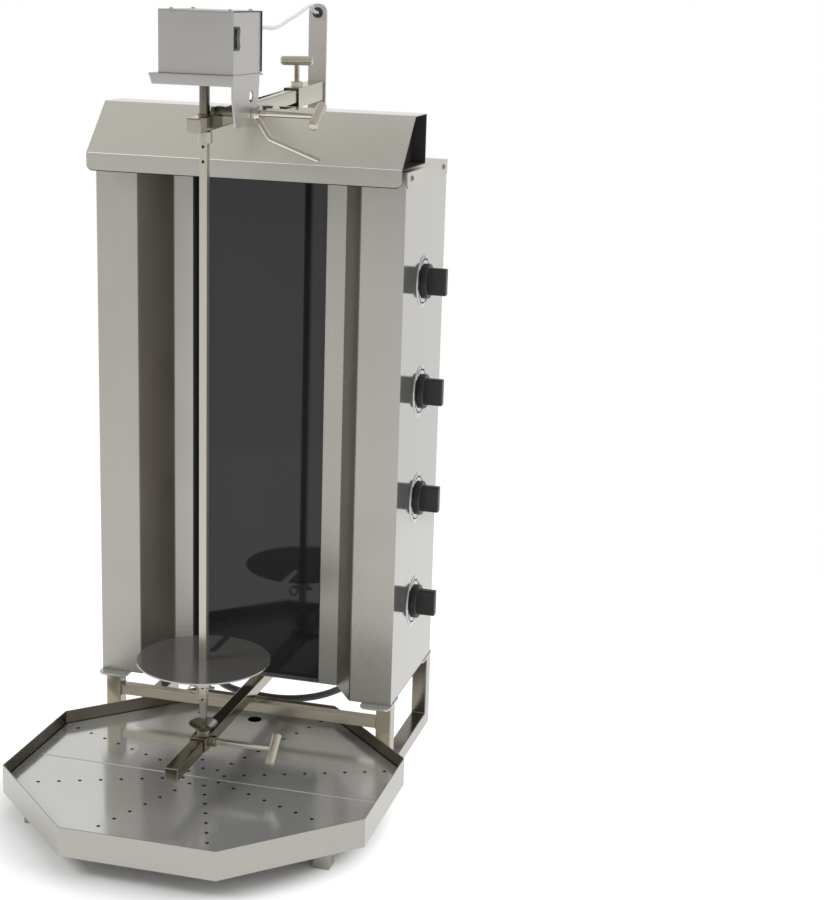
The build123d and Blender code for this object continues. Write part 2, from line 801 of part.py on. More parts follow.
# Sleeve of the arm, with a thick floor strip, cut flush at the upright
sleeve_inner = tube + 2 * slip
screw_at = sleeve_start + sleeve_screw_in
sleeve_roof = tube / 2 + slip + sleeve_wall
sleeve_length = (duct_rear - arm_front) / arm_run - sleeve_start
screw_plane = Plane(
    origin=(spit_x, arm_front + screw_at * arm_run, arm_height + screw_at * arm_rise),
    x_dir=(-1, 0, 0),
    z_dir=(0, -arm_rise, arm_run),
)
with BuildPart() as arm_sleeve:
    with BuildSketch(arm_plane.offset(sleeve_start)):
        with Locations((0, -sleeve_pad / 2)):
            Rectangle(sleeve_inner + 2 * sleeve_wall, sleeve_inner + sleeve_pad + 2 * sleeve_wall)
        Rectangle(sleeve_inner, sleeve_inner, mode=Mode.SUBTRACT)
    extrude(amount=sleeve_length + overrun)
    split(bisect_by=Plane.XZ.offset(-duct_rear), keep=Keep.TOP)
    with BuildSketch(screw_plane.offset(sleeve_roof)):
        RegularPolygon(sleeve_nut / 2, 6, major_radius=False)
    extrude(amount=sleeve_nut_height)
    with BuildSketch(screw_plane):
        Circle(handle_rod / 2 + running)
    extrude(amount=sleeve_roof + sleeve_nut_height + overrun, mode=Mode.SUBTRACT)
arm_sleeve.part.label = "arm_sleeve"
export_step(arm_sleeve.part, "parts/arm_sleeve.step")


# A clamp screw: a rod with a cross bar through its head, and on some a lock nut
def clamp_screw(foot, length, turn, nut_at=0):
    with BuildPart() as screw:
        with BuildSketch(foot):
            Circle(handle_rod / 2)
        extrude(amount=length)
        across = foot.x_dir.rotate(Axis((0, 0, 0), foot.z_dir), turn)
        with BuildSketch(Plane(origin=foot.offset(length).origin, z_dir=across)):
            Circle(handle_bar / 2)
        extrude(amount=handle_bar_length / 2, both=True)
        fillet(screw.edges().filter_by(GeomType.CIRCLE).group_by(SortBy.RADIUS)[-1], handle_bar_round)
        if nut_at:
            with BuildSketch(foot.offset(nut_at)):
                RegularPolygon(handle_nut / 2, 6, major_radius=False)
            extrude(amount=handle_nut_height)
    return screw


sleeve_handle = clamp_screw(screw_plane.offset(tube / 2 + slip), sleeve_rod - slip, sleeve_turn)
sleeve_handle.part.label = "sleeve_handle"
export_step(sleeve_handle.part, "parts/sleeve_handle.step")

# Energy regulators behind the right side, each with a bezel and a knob
knob_face = body_side + bezel_thick + knob_gap
with BuildPart() as regulators:
    with BuildSketch(Plane.YZ.offset(body_side - sheet)):
        with Locations((knob_y, knob_low)):
            with GridLocations(0, knob_step, 1, knob_count, align=(Align.CENTER, Align.MIN)):
                Rectangle(regulator, regulator)
    extrude(amount=-regulator_depth)
    chamfer(regulators.faces().group_by(Axis.X)[0].edges(), regulator_edge)
    with BuildSketch(Plane.YZ.offset(body_side - sheet)):
        with Locations((knob_y, knob_low)):
            with GridLocations(0, knob_step, 1, knob_count, align=(Align.CENTER, Align.MIN)):
                Circle(neck / 2)
    extrude(amount=sheet + bezel_thick)
    with BuildSketch(Plane.YZ.offset(body_side + bezel_thick)):
        with Locations((knob_y, knob_low)):
            with GridLocations(0, knob_step, 1, knob_count, align=(Align.CENTER, Align.MIN)):
                Circle(shaft / 2 + running)
    extrude(amount=-bezel_thick - shaft_in - slip, mode=Mode.SUBTRACT)
regulators.part.label = "regulators"
export_step(regulators.part, "parts/regulators.step")

with BuildPart() as bezels:
    with BuildSketch(Plane.YZ.offset(body_side)):
        with Locations((knob_y, knob_low)):
            with GridLocations(0, knob_step, 1, knob_count, align=(Align.CENTER, Align.MIN)):
                Circle(bezel / 2)
                Circle(neck / 2 + slip, mode=Mode.SUBTRACT)
    extrude(amount=bezel_thick)
bezels.part.label = "bezels"
export_step(bezels.part, "parts/bezels.step")


# A knob: disc, bar grip and the shaft that turns in a regulator
def control_knob(height):
    face = Plane(origin=(knob_face, knob_y, height), x_dir=(0, 1, 0), z_dir=(1, 0, 0))
    with BuildPart() as knob:
        with BuildSketch(face):
            Circle(knob_disc / 2)
        extrude(amount=knob_disc_thick)
        fillet(knob.edges().group_by(Axis.X)[-1], knob_edge)
        with BuildSketch(face.offset(knob_disc_thick)):
            RectangleRounded(knob_grip_width, knob_grip_length, knob_grip_round)
        extrude(amount=knob_grip_out)
        fillet(knob.edges().group_by(Axis.X)[-1], knob_edge)
        with BuildSketch(face):
            Circle(shaft / 2)
        extrude(amount=-knob_gap - bezel_thick - shaft_in)
    return knob


knob_1 = control_knob(knob_low)
knob_1.part.label = "knob_1"
export_step(knob_1.part, "parts/knob_1.step")
knob_2 = control_knob(knob_low + knob_step)
knob_2.part.label = "knob_2"
export_step(knob_2.part, "parts/knob_2.step")
knob_3 = control_knob(knob_low + 2 * knob_step)
knob_3.part.label = "knob_3"
export_step(knob_3.part, "parts/knob_3.step")
knob_4 = control_knob(knob_low + 3 * knob_step)
knob_4.part.label = "knob_4"
export_step(knob_4.part, "parts/knob_4.step")

# Upper arm: a square tube bored for the drive bush
bush_radius = drive / 2 + running + bush_wall
spit_along = spit_y - arm_front
arm_top_at_spit = arm_height + spit_along * arm_rise / arm_run + tube / 2 / arm_run
with BuildPart() as upper_arm:
    with BuildSketch(arm_plane):
        Rectangle(tube, tube)
    extrude(amount=arm_length)
    with BuildSketch(arm_plane.offset(tube_cap)):
        Rectangle(tube - 2 * tube_wall, tube - 2 * tube_wall)
    extrude(amount=arm_length, mode=Mode.SUBTRACT)
    with BuildSketch(Plane.XY.offset(arm_height)):
        with Locations((spit_x, spit_y)):
            Circle(bush_radius + running)
    extrude(amount=tube, both=True, mode=Mode.SUBTRACT)
upper_arm.part.label = "upper_arm"
export_step(upper_arm.part, "parts/upper_arm.step")

bush_bottom = socket_bottom + socket_height + slip
with BuildPart() as arm_bush:
    with BuildSketch(Plane.XY.offset(bush_bottom)):
        with Locations((spit_x, spit_y)):
            Circle(bush_radius)
            Circle(drive / 2 + running, mode=Mode.SUBTRACT)
    extrude(amount=arm_top_at_spit + bush_show - bush_bottom)
arm_bush.part.label = "arm_bush"
export_step(arm_bush.part, "parts/arm_bush.step")

# Lug on the arm and the spacer stub that the bracket is clamped to
arm_right = spit_x + tube / 2
wing_left = wing_right - bracket_sheet
with BuildPart() as pivot_stub:
    with BuildSketch(Plane.YZ.offset(arm_right)) as lug_face:
        with Locations((stub_y, stub_height + stub / 2)):
            Rectangle(lug_width, lug_foot + stub / 2, align=(Align.CENTER, Align.MAX))
        fillet(lug_face.vertices().group_by(Axis.Y)[-1], stub / 2)
    extrude(amount=lug_thick)
    with BuildSketch(Plane.YZ.offset(arm_right)):
        with Locations((stub_y, stub_height)):
            Circle(stub / 2)
    extrude(amount=wing_left - arm_right)
    with BuildSketch(Plane.YZ.offset(wing_left)):
        with Locations((stub_y, stub_height)):
            Circle(handle_rod / 2 + running)
    extrude(amount=-clamp_rod_in - slip, mode=Mode.SUBTRACT)
pivot_stub.part.label = "pivot_stub"
export_step(pivot_stub.part, "parts/pivot_stub.step")

# Motor bracket: plate, front lip and side wing of one folded sheet
plate_left = case_left - bracket_left
plate_front = case_front - bracket_front
lip_bottom = case_bottom - bracket_sheet - bracket_lip
wing_rear = plate_front + wing_depth
with BuildPart() as motor_bracket:
    with BuildSketch(Plane.XY.offset(case_bottom)):
        with Locations((wing_right, plate_front)):
            Rectangle(wing_right - plate_left, bracket_front + case_depth, align=(Align.MAX, Align.MIN))
        with Locations((spit_x, spit_y)):
            Circle(drive / 2 + slip, mode=Mode.SUBTRACT)
    extrude(amount=-bracket_sheet)
    with BuildSketch(Plane.XZ.offset(-plate_front)):
        with BuildLine():
            Polyline(
                (plate_left, case_bottom),
                (wing_right, case_bottom),
                (wing_right, lip_bottom),
                (plate_left + bracket_lip_slant, lip_bottom),
                close=True,
            )
        make_face()
    extrude(amount=-bracket_sheet)
    with BuildSketch(Plane.YZ.offset(wing_right)):
        with BuildLine():
            Polyline(
                (plate_front, case_bottom),
                (plate_front, case_bottom - wing_straight),
                (plate_front + wing_foot_front, case_bottom - wing_drop),
                (wing_rear - wing_foot_rear, case_bottom - wing_drop),
                (wing_rear - wing_notch, case_bottom - wing_straight),
                (wing_rear, case_bottom - wing_notch_height),
                (wing_rear, case_bottom),
                close=True,
            )
        make_face()
        with Locations((plate_front + wing_hole_front, case_bottom - wing_hole_drop)):
            Circle(wing_hole / 2, mode=Mode.SUBTRACT)
        with Locations((stub_y, stub_height)):
            Circle(handle_rod / 2 + running, mode=Mode.SUBTRACT)
    extrude(amount=-bracket_sheet)
motor_bracket.part.label = "motor_bracket"
export_step(motor_bracket.part, "parts/motor_bracket.step")

# Motor case, open at the top and the rear, with the switch cut into its right wall
case_top = case_bottom + case_height
case_middle = (case_left + case_right) / 2
switch_y = case_front + switch_front
switch_z = case_bottom + switch_rise
with BuildPart() as motor_case:
    with BuildSketch(Plane.XY.offset(case_bottom)):
        with Locations((case_middle, case_front)):
            Rectangle(case_width, case_depth - case_sheet, align=(Align.CENTER, Align.MIN))
    extrude(amount=case_height - case_sheet)
    offset(
        amount=-case_sheet,
        openings=[motor_case.faces().sort_by(Axis.Z)[-1], motor_case.faces().sort_by(Axis.Y)[-1]],
    )
    with BuildSketch(Plane.XY.offset(case_bottom)):
        with Locations((spit_x, spit_y)):
            Circle(drive / 2 + slip)
    extrude(amount=2 * case_sheet, both=True, mode=Mode.SUBTRACT)
    with BuildSketch(Plane.YZ.offset(case_right)):
        with Locations((switch_y, switch_z)):
            Rectangle(switch_width - 2 * switch_rim + 2 * running, switch_height - 2 * switch_rim + 2 * running)
    extrude(amount=2 * case_sheet, both=True, mode=Mode.SUBTRACT)
motor_case.part.label = "motor_case"
export_step(motor_case.part, "parts/motor_case.step")

# Lid of the case: top, rear wall and two lips inside the case walls
lid_lip_x = case_width / 2 - case_sheet
with BuildPart() as motor_lid:
    with BuildSketch(Plane.XY.offset(case_top)):
        with Locations((case_middle, case_front)):
            Rectangle(case_width, case_depth, align=(Align.CENTER, Align.MIN))
    extrude(amount=-case_sheet)
    with BuildSketch(Plane.XZ.offset(-case_rear)):
        with Locations((case_middle, case_bottom)):
            Rectangle(case_width, case_height, align=(Align.CENTER, Align.MIN))
    extrude(amount=case_sheet)
    with BuildSketch(Plane.XY.offset(case_top - case_sheet)):
        with Locations((case_middle - lid_lip_x, case_rear - case_sheet), (case_middle + lid_lip_x - case_sheet, case_rear - case_sheet)):
            Rectangle(case_sheet, case_depth - 3 * case_sheet, align=(Align.MIN, Align.MAX))
    extrude(amount=-lid_lip)
motor_lid.part.label = "motor_lid"
export_step(motor_lid.part, "parts/motor_lid.step")

# Gear motor on the floor of the case
motor_floor = case_bottom + case_sheet
with BuildPart() as gear_motor:
    with BuildSketch(Plane.XY.offset(motor_floor)):
        with Locations((spit_x, spit_y)):
            RectangleRounded(gearbox, gearbox, gearbox_round)
    extrude(amount=gearbox_height)
    with BuildSketch(Plane.XY.offset(motor_floor + gearbox_height)):
        with Locations((spit_x, spit_y)):
            Circle(motor / 2)
    extrude(amount=motor_height)
    fillet(gear_motor.edges().group_by(Axis.Z)[-1], motor_edge)
    with BuildSketch(Plane.XY.offset(motor_floor)):
        with Locations((spit_x, spit_y)):
            Circle(drive / 2 + running)
    extrude(amount=drive_in + slip, mode=Mode.SUBTRACT)
gear_motor.part.label = "gear_motor"
export_step(gear_motor.part, "parts/gear_motor.step")

# Motor switch: frame with a well, and the rocker on two pins in it
well_width = switch_width - 2 * switch_rim - 2 * switch_wall
well_height = switch_height - 2 * switch_rim - 2 * switch_wall
with BuildPart() as switch_frame:
    with BuildSketch(Plane.YZ.offset(case_right)):
        with Locations((switch_y, switch_z)):
            RectangleRounded(switch_width, switch_height, switch_rim)
    extrude(amount=switch_frame_out)
    with BuildSketch(Plane.YZ.offset(case_right)):
        with Locations((switch_y, switch_z)):
            Rectangle(switch_width - 2 * switch_rim, switch_height - 2 * switch_rim)
    extrude(amount=-switch_body)
    with BuildSketch(Plane.YZ.offset(case_right + switch_frame_out)):
        with Locations((switch_y, switch_z)):
            Rectangle(well_width, well_height)
    extrude(amount=-switch_frame_out - switch_body + switch_wall, mode=Mode.SUBTRACT)
    with BuildSketch(Plane.XZ.offset(-switch_y)):
        with Locations((case_right, switch_z)):
            Circle(rocker_pin / 2 + running)
    extrude(amount=switch_width / 2 - switch_rim, both=True, mode=Mode.SUBTRACT)
switch_frame.part.label = "switch_frame"
export_step(switch_frame.part, "parts/switch_frame.step")

rocker_half = well_height / 2 - rocker_gap
with BuildPart() as rocker:
    with BuildSketch(Plane.XZ.offset(-switch_y)):
        with BuildLine():
            Polyline(
                (case_right - rocker_back, switch_z - rocker_half + rocker_taper),
                (case_right, switch_z - rocker_half),
                (case_right + rocker_out, switch_z - rocker_half),
                (case_right + rocker_out - rocker_dip, switch_z),
                (case_right + rocker_out, switch_z + rocker_half),
                (case_right, switch_z + rocker_half),
                (case_right - rocker_back, switch_z + rocker_half - rocker_taper),
                close=True,
            )
        make_face()
    extrude(amount=well_width / 2 - rocker_gap, both=True)
    with BuildSketch(Plane.XZ.offset(-switch_y)):
        with Locations((case_right, switch_z)):
            Circle(rocker_pin / 2)
    extrude(amount=well_width / 2 + switch_wall / 2, both=True)
rocker.part.label = "rocker"
export_step(rocker.part, "parts/rocker.step")

# Clamp screw through the wing, with its lock nut, and the lever on the same screw
clamp_foot = Plane(origin=(wing_left - clamp_rod_in, stub_y, stub_height), x_dir=(0, 1, 0), z_dir=(1, 0, 0))
lever_back = wing_right + slip + handle_nut_height + lever_eye_gap
clamp_nut_at = clamp_rod_in + bracket_sheet + slip
clamp_handle = clamp_screw(clamp_foot, clamp_rod_in + bracket_sheet + clamp_rod, clamp_turn, clamp_nut_at)
clamp_handle.part.label = "clamp_handle"
export_step(clamp_handle.part, "parts/clamp_handle.step")

with BuildPart() as lock_lever:
    with BuildLine():
        lever_line = FilletPolyline(
            (lever_back + lever_eye_thick / 2, stub_y, stub_height - lever_eye / 2),
            (wing_right + lever_knee_out, stub_y - lever_forward, stub_height - lever_knee_drop),
            (wing_right + lever_tip_out, stub_y - lever_forward, stub_height - lever_tip_drop),
            radius=lever_bend,
        )
    with BuildSketch(Plane(origin=lever_line @ 0, z_dir=lever_line % 0)):
        Circle(lever_rod / 2)
    sweep()
    split(bisect_by=Plane.YZ.offset(lever_back), keep=Keep.TOP)
    with BuildSketch(Plane.YZ.offset(lever_back)):
        with Locations((stub_y, stub_height)):
            Circle(lever_eye / 2)
    extrude(amount=lever_eye_thick)
    with BuildSketch(Plane.YZ.offset(lever_back)):
        with Locations((stub_y, stub_height)):
            Circle(handle_rod / 2 + running)
    extrude(amount=lever_eye_thick + overrun, both=True, mode=Mode.SUBTRACT)
lock_lever.part.label = "lock_lever"
export_step(lock_lever.part, "parts/lock_lever.step")

# Drive shaft with the square socket of the spit
with BuildPart() as drive_shaft:
    with BuildSketch(Plane.XY.offset(socket_bottom)):
        with Locations((spit_x, spit_y)):
            Circle(socket / 2)
    extrude(amount=socket_height)
    with BuildSketch(Plane.XY.offset(socket_bottom + socket_height)):
        with Locations((spit_x, spit_y)):
            Circle(drive / 2)
    extrude(amount=motor_floor + drive_in - socket_bottom - socket_height)
    with BuildSketch(Plane.XY.offset(socket_bottom)):
        with Locations((spit_x, spit_y)):
            Rectangle(spit + 2 * socket_fit, spit + 2 * socket_fit)
    extrude(amount=socket_height - socket_roof, mode=Mode.SUBTRACT)
drive_shaft.part.label = "drive_shaft"
export_step(drive_shaft.part, "parts/drive_shaft.step")

# Spit: a square bar with a blunt point and cross holes
pin_height = spit_hole_low + spit_hole_low_step
with BuildPart() as spit_bar:
    with BuildSketch(Plane.XY.offset(spit_tip + spit_taper)):
        with Locations((spit_x, spit_y)):
            Rectangle(spit, spit)
    extrude(amount=spit_top - spit_tip - spit_taper)
    with BuildSketch(Plane.XY.offset(spit_tip + spit_taper)):
        with Locations((spit_x, spit_y)):
            Rectangle(spit, spit)
    with BuildSketch(Plane.XY.offset(spit_tip)):
        with Locations((spit_x, spit_y)):
            Rectangle(spit_point, spit_point)
    loft(ruled=True)
    with BuildSketch(Plane.XZ.offset(-spit_y)):
        with Locations(
            (spit_x, spit_hole_low),
            (spit_x, pin_height),
            (spit_x, spit_hole_top - spit_hole_step),
            (spit_x, spit_hole_top),
        ):
            Circle(spit_hole / 2)
    extrude(amount=spit, both=True, mode=Mode.SUBTRACT)
    with BuildSketch(Plane.YZ.offset(spit_x)):
        with Locations((spit_y, pin_height)):
            Circle(spit_hole / 2)
    extrude(amount=spit, both=True, mode=Mode.SUBTRACT)
spit_bar.part.label = "spit_bar"
export_step(spit_bar.part, "parts/spit_bar.step")

# Meat plate: a slotted disc whose hub rests on the pin
hub_bottom = pin_height + spit_hole / 2
with BuildPart() as meat_plate:
    with BuildSketch(Plane.XY.offset(plate_height)):
        with Locations((spit_x, spit_y)):
            Circle(plate / 2)
        with Locations((spit_x, spit_y + plate_slot_start)):
            Rectangle(plate_slot, plate, align=(Align.CENTER, Align.MIN), mode=Mode.SUBTRACT)
    extrude(amount=-plate_thick)
    with BuildSketch(Plane.XY.offset(hub_bottom)):
        with Locations((spit_x, spit_y)):
            Circle(hub / 2)
    extrude(amount=plate_height - plate_thick - hub_bottom)
    with BuildSketch(Plane.XY.offset(hub_bottom)):
        with Locations((spit_x, spit_y)):
            Rectangle(spit + 2 * socket_fit, spit + 2 * socket_fit)
    extrude(amount=plate_height - hub_bottom + overrun, mode=Mode.SUBTRACT)
meat_plate.part.label = "meat_plate"
export_step(meat_plate.part, "parts/meat_plate.step")

# Pin through the spit, with a pull ring at its left end
with BuildPart() as plate_pin:
    with BuildSketch(Plane.YZ.offset(spit_x + pin_length / 2)):
        with Locations((spit_y, pin_height)):
            Circle(spit_hole / 2 - running)
    extrude(amount=-pin_length)
    with BuildSketch(Plane.XZ.offset(-spit_y)):
        with Locations((spit_x - pin_length / 2, pin_height - pin_ring / 2 + pin_ring_wire / 2)):
            Circle(pin_ring / 2)
            Circle(pin_ring / 2 - pin_ring_wire, mode=Mode.SUBTRACT)
    extrude(amount=pin_ring_wire / 2, both=True)
plate_pin.part.label = "plate_pin"
export_step(plate_pin.part, "parts/plate_pin.step")

# Collar that rides on the slide rail, with a welded nut for its clamp screw
collar_top = crossbar_top + tube + slip + collar_wall
collar_right = spit_x + tube / 2 + slip + collar_wall
collar_bottom = crossbar_top + collar_skirt
with BuildPart() as collar:
    with BuildSketch(Plane.XZ.offset(-spit_y - collar_length / 2)):
        with Locations((spit_x, collar_bottom)):
            Rectangle(tube + 2 * slip + 2 * collar_wall, collar_top - collar_bottom, align=(Align.CENTER, Align.MIN))
            Rectangle(
                tube + 2 * slip,
                collar_top - collar_wall - collar_bottom,
                align=(Align.CENTER, Align.MIN),
                mode=Mode.SUBTRACT,
            )
    extrude(amount=collar_length)
    with BuildSketch(Plane.YZ.offset(collar_right)):
        with Locations((spit_y, rail_middle)):
            RegularPolygon(handle_nut / 2, 6, major_radius=False)
    extrude(amount=handle_nut_height)
    with BuildSketch(Plane.YZ.offset(spit_x)):
        with Locations((spit_y, rail_middle)):
            Circle(handle_rod / 2 + running)
    extrude(amount=tube / 2 + slip + collar_wall + handle_nut_height + overrun, mode=Mode.SUBTRACT)
collar.part.label = "collar"
export_step(collar.part, "parts/collar.step")

collar_foot = Plane(origin=(arm_right + slip, spit_y, rail_middle), x_dir=(0, 1, 0), z_dir=(1, 0, 0))
collar_handle = clamp_screw(collar_foot, collar_rod - slip, collar_turn)
collar_handle.part.label = "collar_handle"
export_step(collar_handle.part, "parts/collar_handle.step")

# Cup on the collar, in which the point of the spit turns
cup_floor = spit_tip - slip - collar_top
with BuildPart() as spit_cup:
    with BuildSketch(Plane(origin=(spit_x, spit_y, collar_top), x_dir=(1, 0, 0), z_dir=(0, -1, 0))):
        with BuildLine():
            Polyline(
                (0, 0),
                (cup_foot / 2, 0),
                (cup_foot / 2, cup_foot_height),
                (cup / 2, cup_height),
                (cup / 2 - cup_wall, cup_height),
                (cup_foot / 2, cup_floor),
                (0, cup_floor),
                close=True,
            )
        make_face()
    revolve(axis=Axis((spit_x, spit_y, 0), (0, 0, 1)))
spit_cup.part.label = "spit_cup"
export_step(spit_cup.part, "parts/spit_cup.step")

# Gland of the mains lead
gland_z = body_bottom + gland_rise
gland_end = body_rear + sheet + gland_out
with BuildPart() as cable_gland:
    with BuildSketch(Plane.XZ.offset(-body_rear - sheet)):
        with Locations((-gland_side, gland_z)):
            RegularPolygon(gland_nut / 2, 6, major_radius=False)
    extrude(amount=-gland_nut_thick)
    with BuildSketch(Plane.XZ.offset(-body_rear - sheet)):
        with Locations((-gland_side, gland_z)):
            Circle(gland / 2)
    extrude(amount=-gland_out)
    fillet(cable_gland.edges().group_by(Axis.Y)[-1], gland_edge)
    with BuildSketch(Plane.XZ.offset(-body_rear - sheet)):
        with Locations((-gland_side, gland_z)):
            Circle(gland_shank / 2)
    extrude(amount=sheet + gland_shank_in)
    with BuildSketch(Plane.XZ.offset(-body_rear)):
        with Locations((-gland_side, gland_z)):
            RegularPolygon(gland_nut / 2, 6, major_radius=False)
    extrude(amount=gland_nut_thick)
cable_gland.part.label = "cable_gland"
export_step(cable_gland.part, "parts/cable_gland.step")

# Bush where the motor lead leaves the case
lead_exit_x = case_right - lead_exit_side
lead_exit_z = case_bottom + lead_exit_rise
with BuildPart() as case_bush:
    with BuildSketch(Plane.XZ.offset(-case_rear)):
        with Locations((lead_exit_x, lead_exit_z)):
            Circle(lead_bush / 2)
    extrude(amount=-lead_bush_out)
case_bush.part.label = "case_bush"
export_step(case_bush.part, "parts/case_bush.step")


# Bend radii of a cord, as large as the runs beside each bend allow
def bend_radii(points):
    radii = []
    for before, here, after in zip(points, points[1:], points[2:]):
        into = Vector(*here) - Vector(*before)
        out = Vector(*after) - Vector(*here)
        radii.append(bend_share * min(into.length, out.length) / tan(radians(into.get_angle(out)) / 2))
    return radii


def cord_tube(name, points, diameter):
    radii = bend_radii(points)
    print(name, "radii", [round(r, 1) for r in radii])
    with BuildPart() as cord:
        with BuildLine():
            route = FilletPolyline(*points, radius=radii)
        with BuildSketch(Plane(origin=route @ 0, z_dir=route % 0)):
            Circle(diameter / 2)
        sweep()
    length = route.length
    print(name, "length", round(length, 1), "volume share", round(cord.part.volume / (length * pi * diameter**2 / 4), 5))
    return cord


# Motor lead: slack above the arm, through the upright and down its back into the mast
grommet_z = upright_top - upright_hole_drop
lead_route = [
    (45, -64, 1036.5),
    (41.5, -22, 1034),
    (35.5, 24, 1037.5),
    (30, 74, 1044),
    (24, 128, 1050),
    (17, 182, 1057),
    (8, 238, 1062.5),
]
lead_back_route = [(0, 14, -16.5), (1, 16, -43), (5, 15, -85), (11, 14, -130), (18, 13, -172), (24, 12.5, -205)]
lead_end_route = [(30, 10.5), (19.5, 0)]
motor_lead = cord_tube(
    "motor lead",
    [(lead_exit_x, case_rear + lead_bush_out, lead_exit_z)]
    + [(x, body_front + y, z) for x, y, z in lead_route]
    + [(spit_x, duct_rear - lead_turn, grommet_z), (spit_x, duct_rear + lead_hang, grommet_z)]
    + [(spit_x + x, duct_rear + lead_hang + y, grommet_z + z) for x, y, z in lead_back_route]
    + [(lead_entry_x, duct_rear + y, lead_entry_z + z) for y, z in lead_end_route]
    + [(lead_entry_x, duct_rear + lead_bush_out, lead_entry_z)],
    lead,
)
motor_lead.part.label = "motor_lead"
export_step(motor_lead.part, "parts/motor_lead.step")

# Mains lead: down behind the body, over the floor and into a flat coil
floor_z = mains / 2
coil_x = coil_side
coil_y = body_front + coil_behind
mains_route = [(-165, 326, 131), (-165, 341.5, 83), (-163, 326, 35)]
floor_route = [(-152, 285), (-120, 252), (-70, 236), (-13, 234), (32, 262), (58, 312), (72, 356)]
mains_cable = cord_tube(
    "mains cable",
    [(-gland_side, gland_end, gland_z), (-gland_side, gland_end + gland_run, gland_z)]
    + [(x, body_front + y, z) for x, y, z in mains_route]
    + [(x, body_front + y, floor_z) for x, y in floor_route]
    + [(coil_x, coil_y - mains, floor_z)],
    mains,
)
mains_cable.part.label = "mains_cable"
export_step(mains_cable.part, "parts/mains_cable.step")

# Coil of half turns: inwards on the floor, up one pitch, and outwards on top
half_radii = [coil_radius - k * coil_pitch / 2 for k in range(coil_half_turns + 1)]
half_radii = half_radii + half_radii[-2::-1]
coil_points = [(coil_x, coil_y - mains, floor_z), (coil_x, coil_y, floor_z)]
with BuildPart() as mains_coil:
    with BuildLine() as coil_line:
        Line(*coil_points)
        x, z = coil_x, floor_z
        for k, r in enumerate(half_radii):
            side = 1 if k % 2 == 0 else -1
            rise = coil_pitch if k == coil_half_turns else 0
            reach = sqrt(r**2 + (rise / 2) ** 2)
            middle = x - side * r
            end = x - side * 2 * r
            ThreePointArc(
                (x, coil_y, z), (middle, coil_y + side * reach, z + rise / 2), (end, coil_y, z + rise)
            )
            x, z = end, z + rise
        Line((x, coil_y, z), (x, coil_y - mains, z))
    coil_path = coil_line.wire()
    with BuildSketch(Plane(origin=coil_path @ 0, z_dir=coil_path % 0)):
        Circle(mains / 2)
    sweep()
coil_samples = [coil_path @ (k / 600) for k in range(601)]
coil_step = coil_path.length / 600
coil_skip = int(pi * mains / coil_step)
coil_gap = min(
    (a - b).length for i, a in enumerate(coil_samples) for b in coil_samples[i + coil_skip :]
)
print("coil length", round(coil_path.length, 1), "least gap to itself", round(coil_gap - mains, 2))
mains_coil.part.label = "mains_coil"
export_step(mains_coil.part, "parts/mains_coil.step")

# Short lead from the coil to the plug, which lies on the floor
plug_x = x - plug_beside
plug_y = coil_y - plug_ahead
plug_z = plug_body / 2
plug_route = [(0, -53, 0), (-32, -85, -7), (-78, -85, -10), (-110, -53, -3)]
plug_lead = cord_tube(
    "plug lead",
    [(x, coil_y - mains, z)]
    + [(x + along, coil_y + back, z + up) for along, back, up in plug_route]
    + [(plug_x, coil_y - mains, plug_z), (plug_x, plug_y, plug_z)],
    mains,
)
plug_lead.part.label = "plug_lead"
export_step(plug_lead.part, "parts/plug_lead.step")

plug_face = plug_y + plug_neck_length + plug_length
with BuildPart() as plug:
    with BuildSketch(Plane(origin=(plug_x, plug_y, plug_z), x_dir=(1, 0, 0), z_dir=(0, 0, 1))):
        with BuildLine():
            Polyline(
                (0, 0),
                (plug_neck / 2, 0),
                (plug_neck / 2, plug_neck_length),
                (plug_shoulder / 2, plug_neck_length),
                (plug_body / 2, plug_neck_length + plug_length / 2),
                (plug_body / 2, plug_neck_length + plug_length),
                (0, plug_neck_length + plug_length),
                close=True,
            )
        make_face()
    revolve(axis=Axis((plug_x, plug_y, plug_z), (0, 1, 0)))
plug.part.label = "plug"
export_step(plug.part, "parts/plug.step")

with BuildPart() as plug_pins:
    with BuildSketch(Plane.XZ.offset(-plug_face)):
        with Locations((plug_x, plug_z)):
            with GridLocations(plug_pin_gap, 0, 2, 1):
                Circle(plug_pin / 2)
    extrude(amount=-plug_pin_length)
    fillet(plug_pins.edges().group_by(Axis.Y)[-1], plug_pin / 4)
plug_pins.part.label = "plug_pins"
export_step(plug_pins.part, "parts/plug_pins.step")
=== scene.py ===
import json
from math import cos, pi, radians, sin

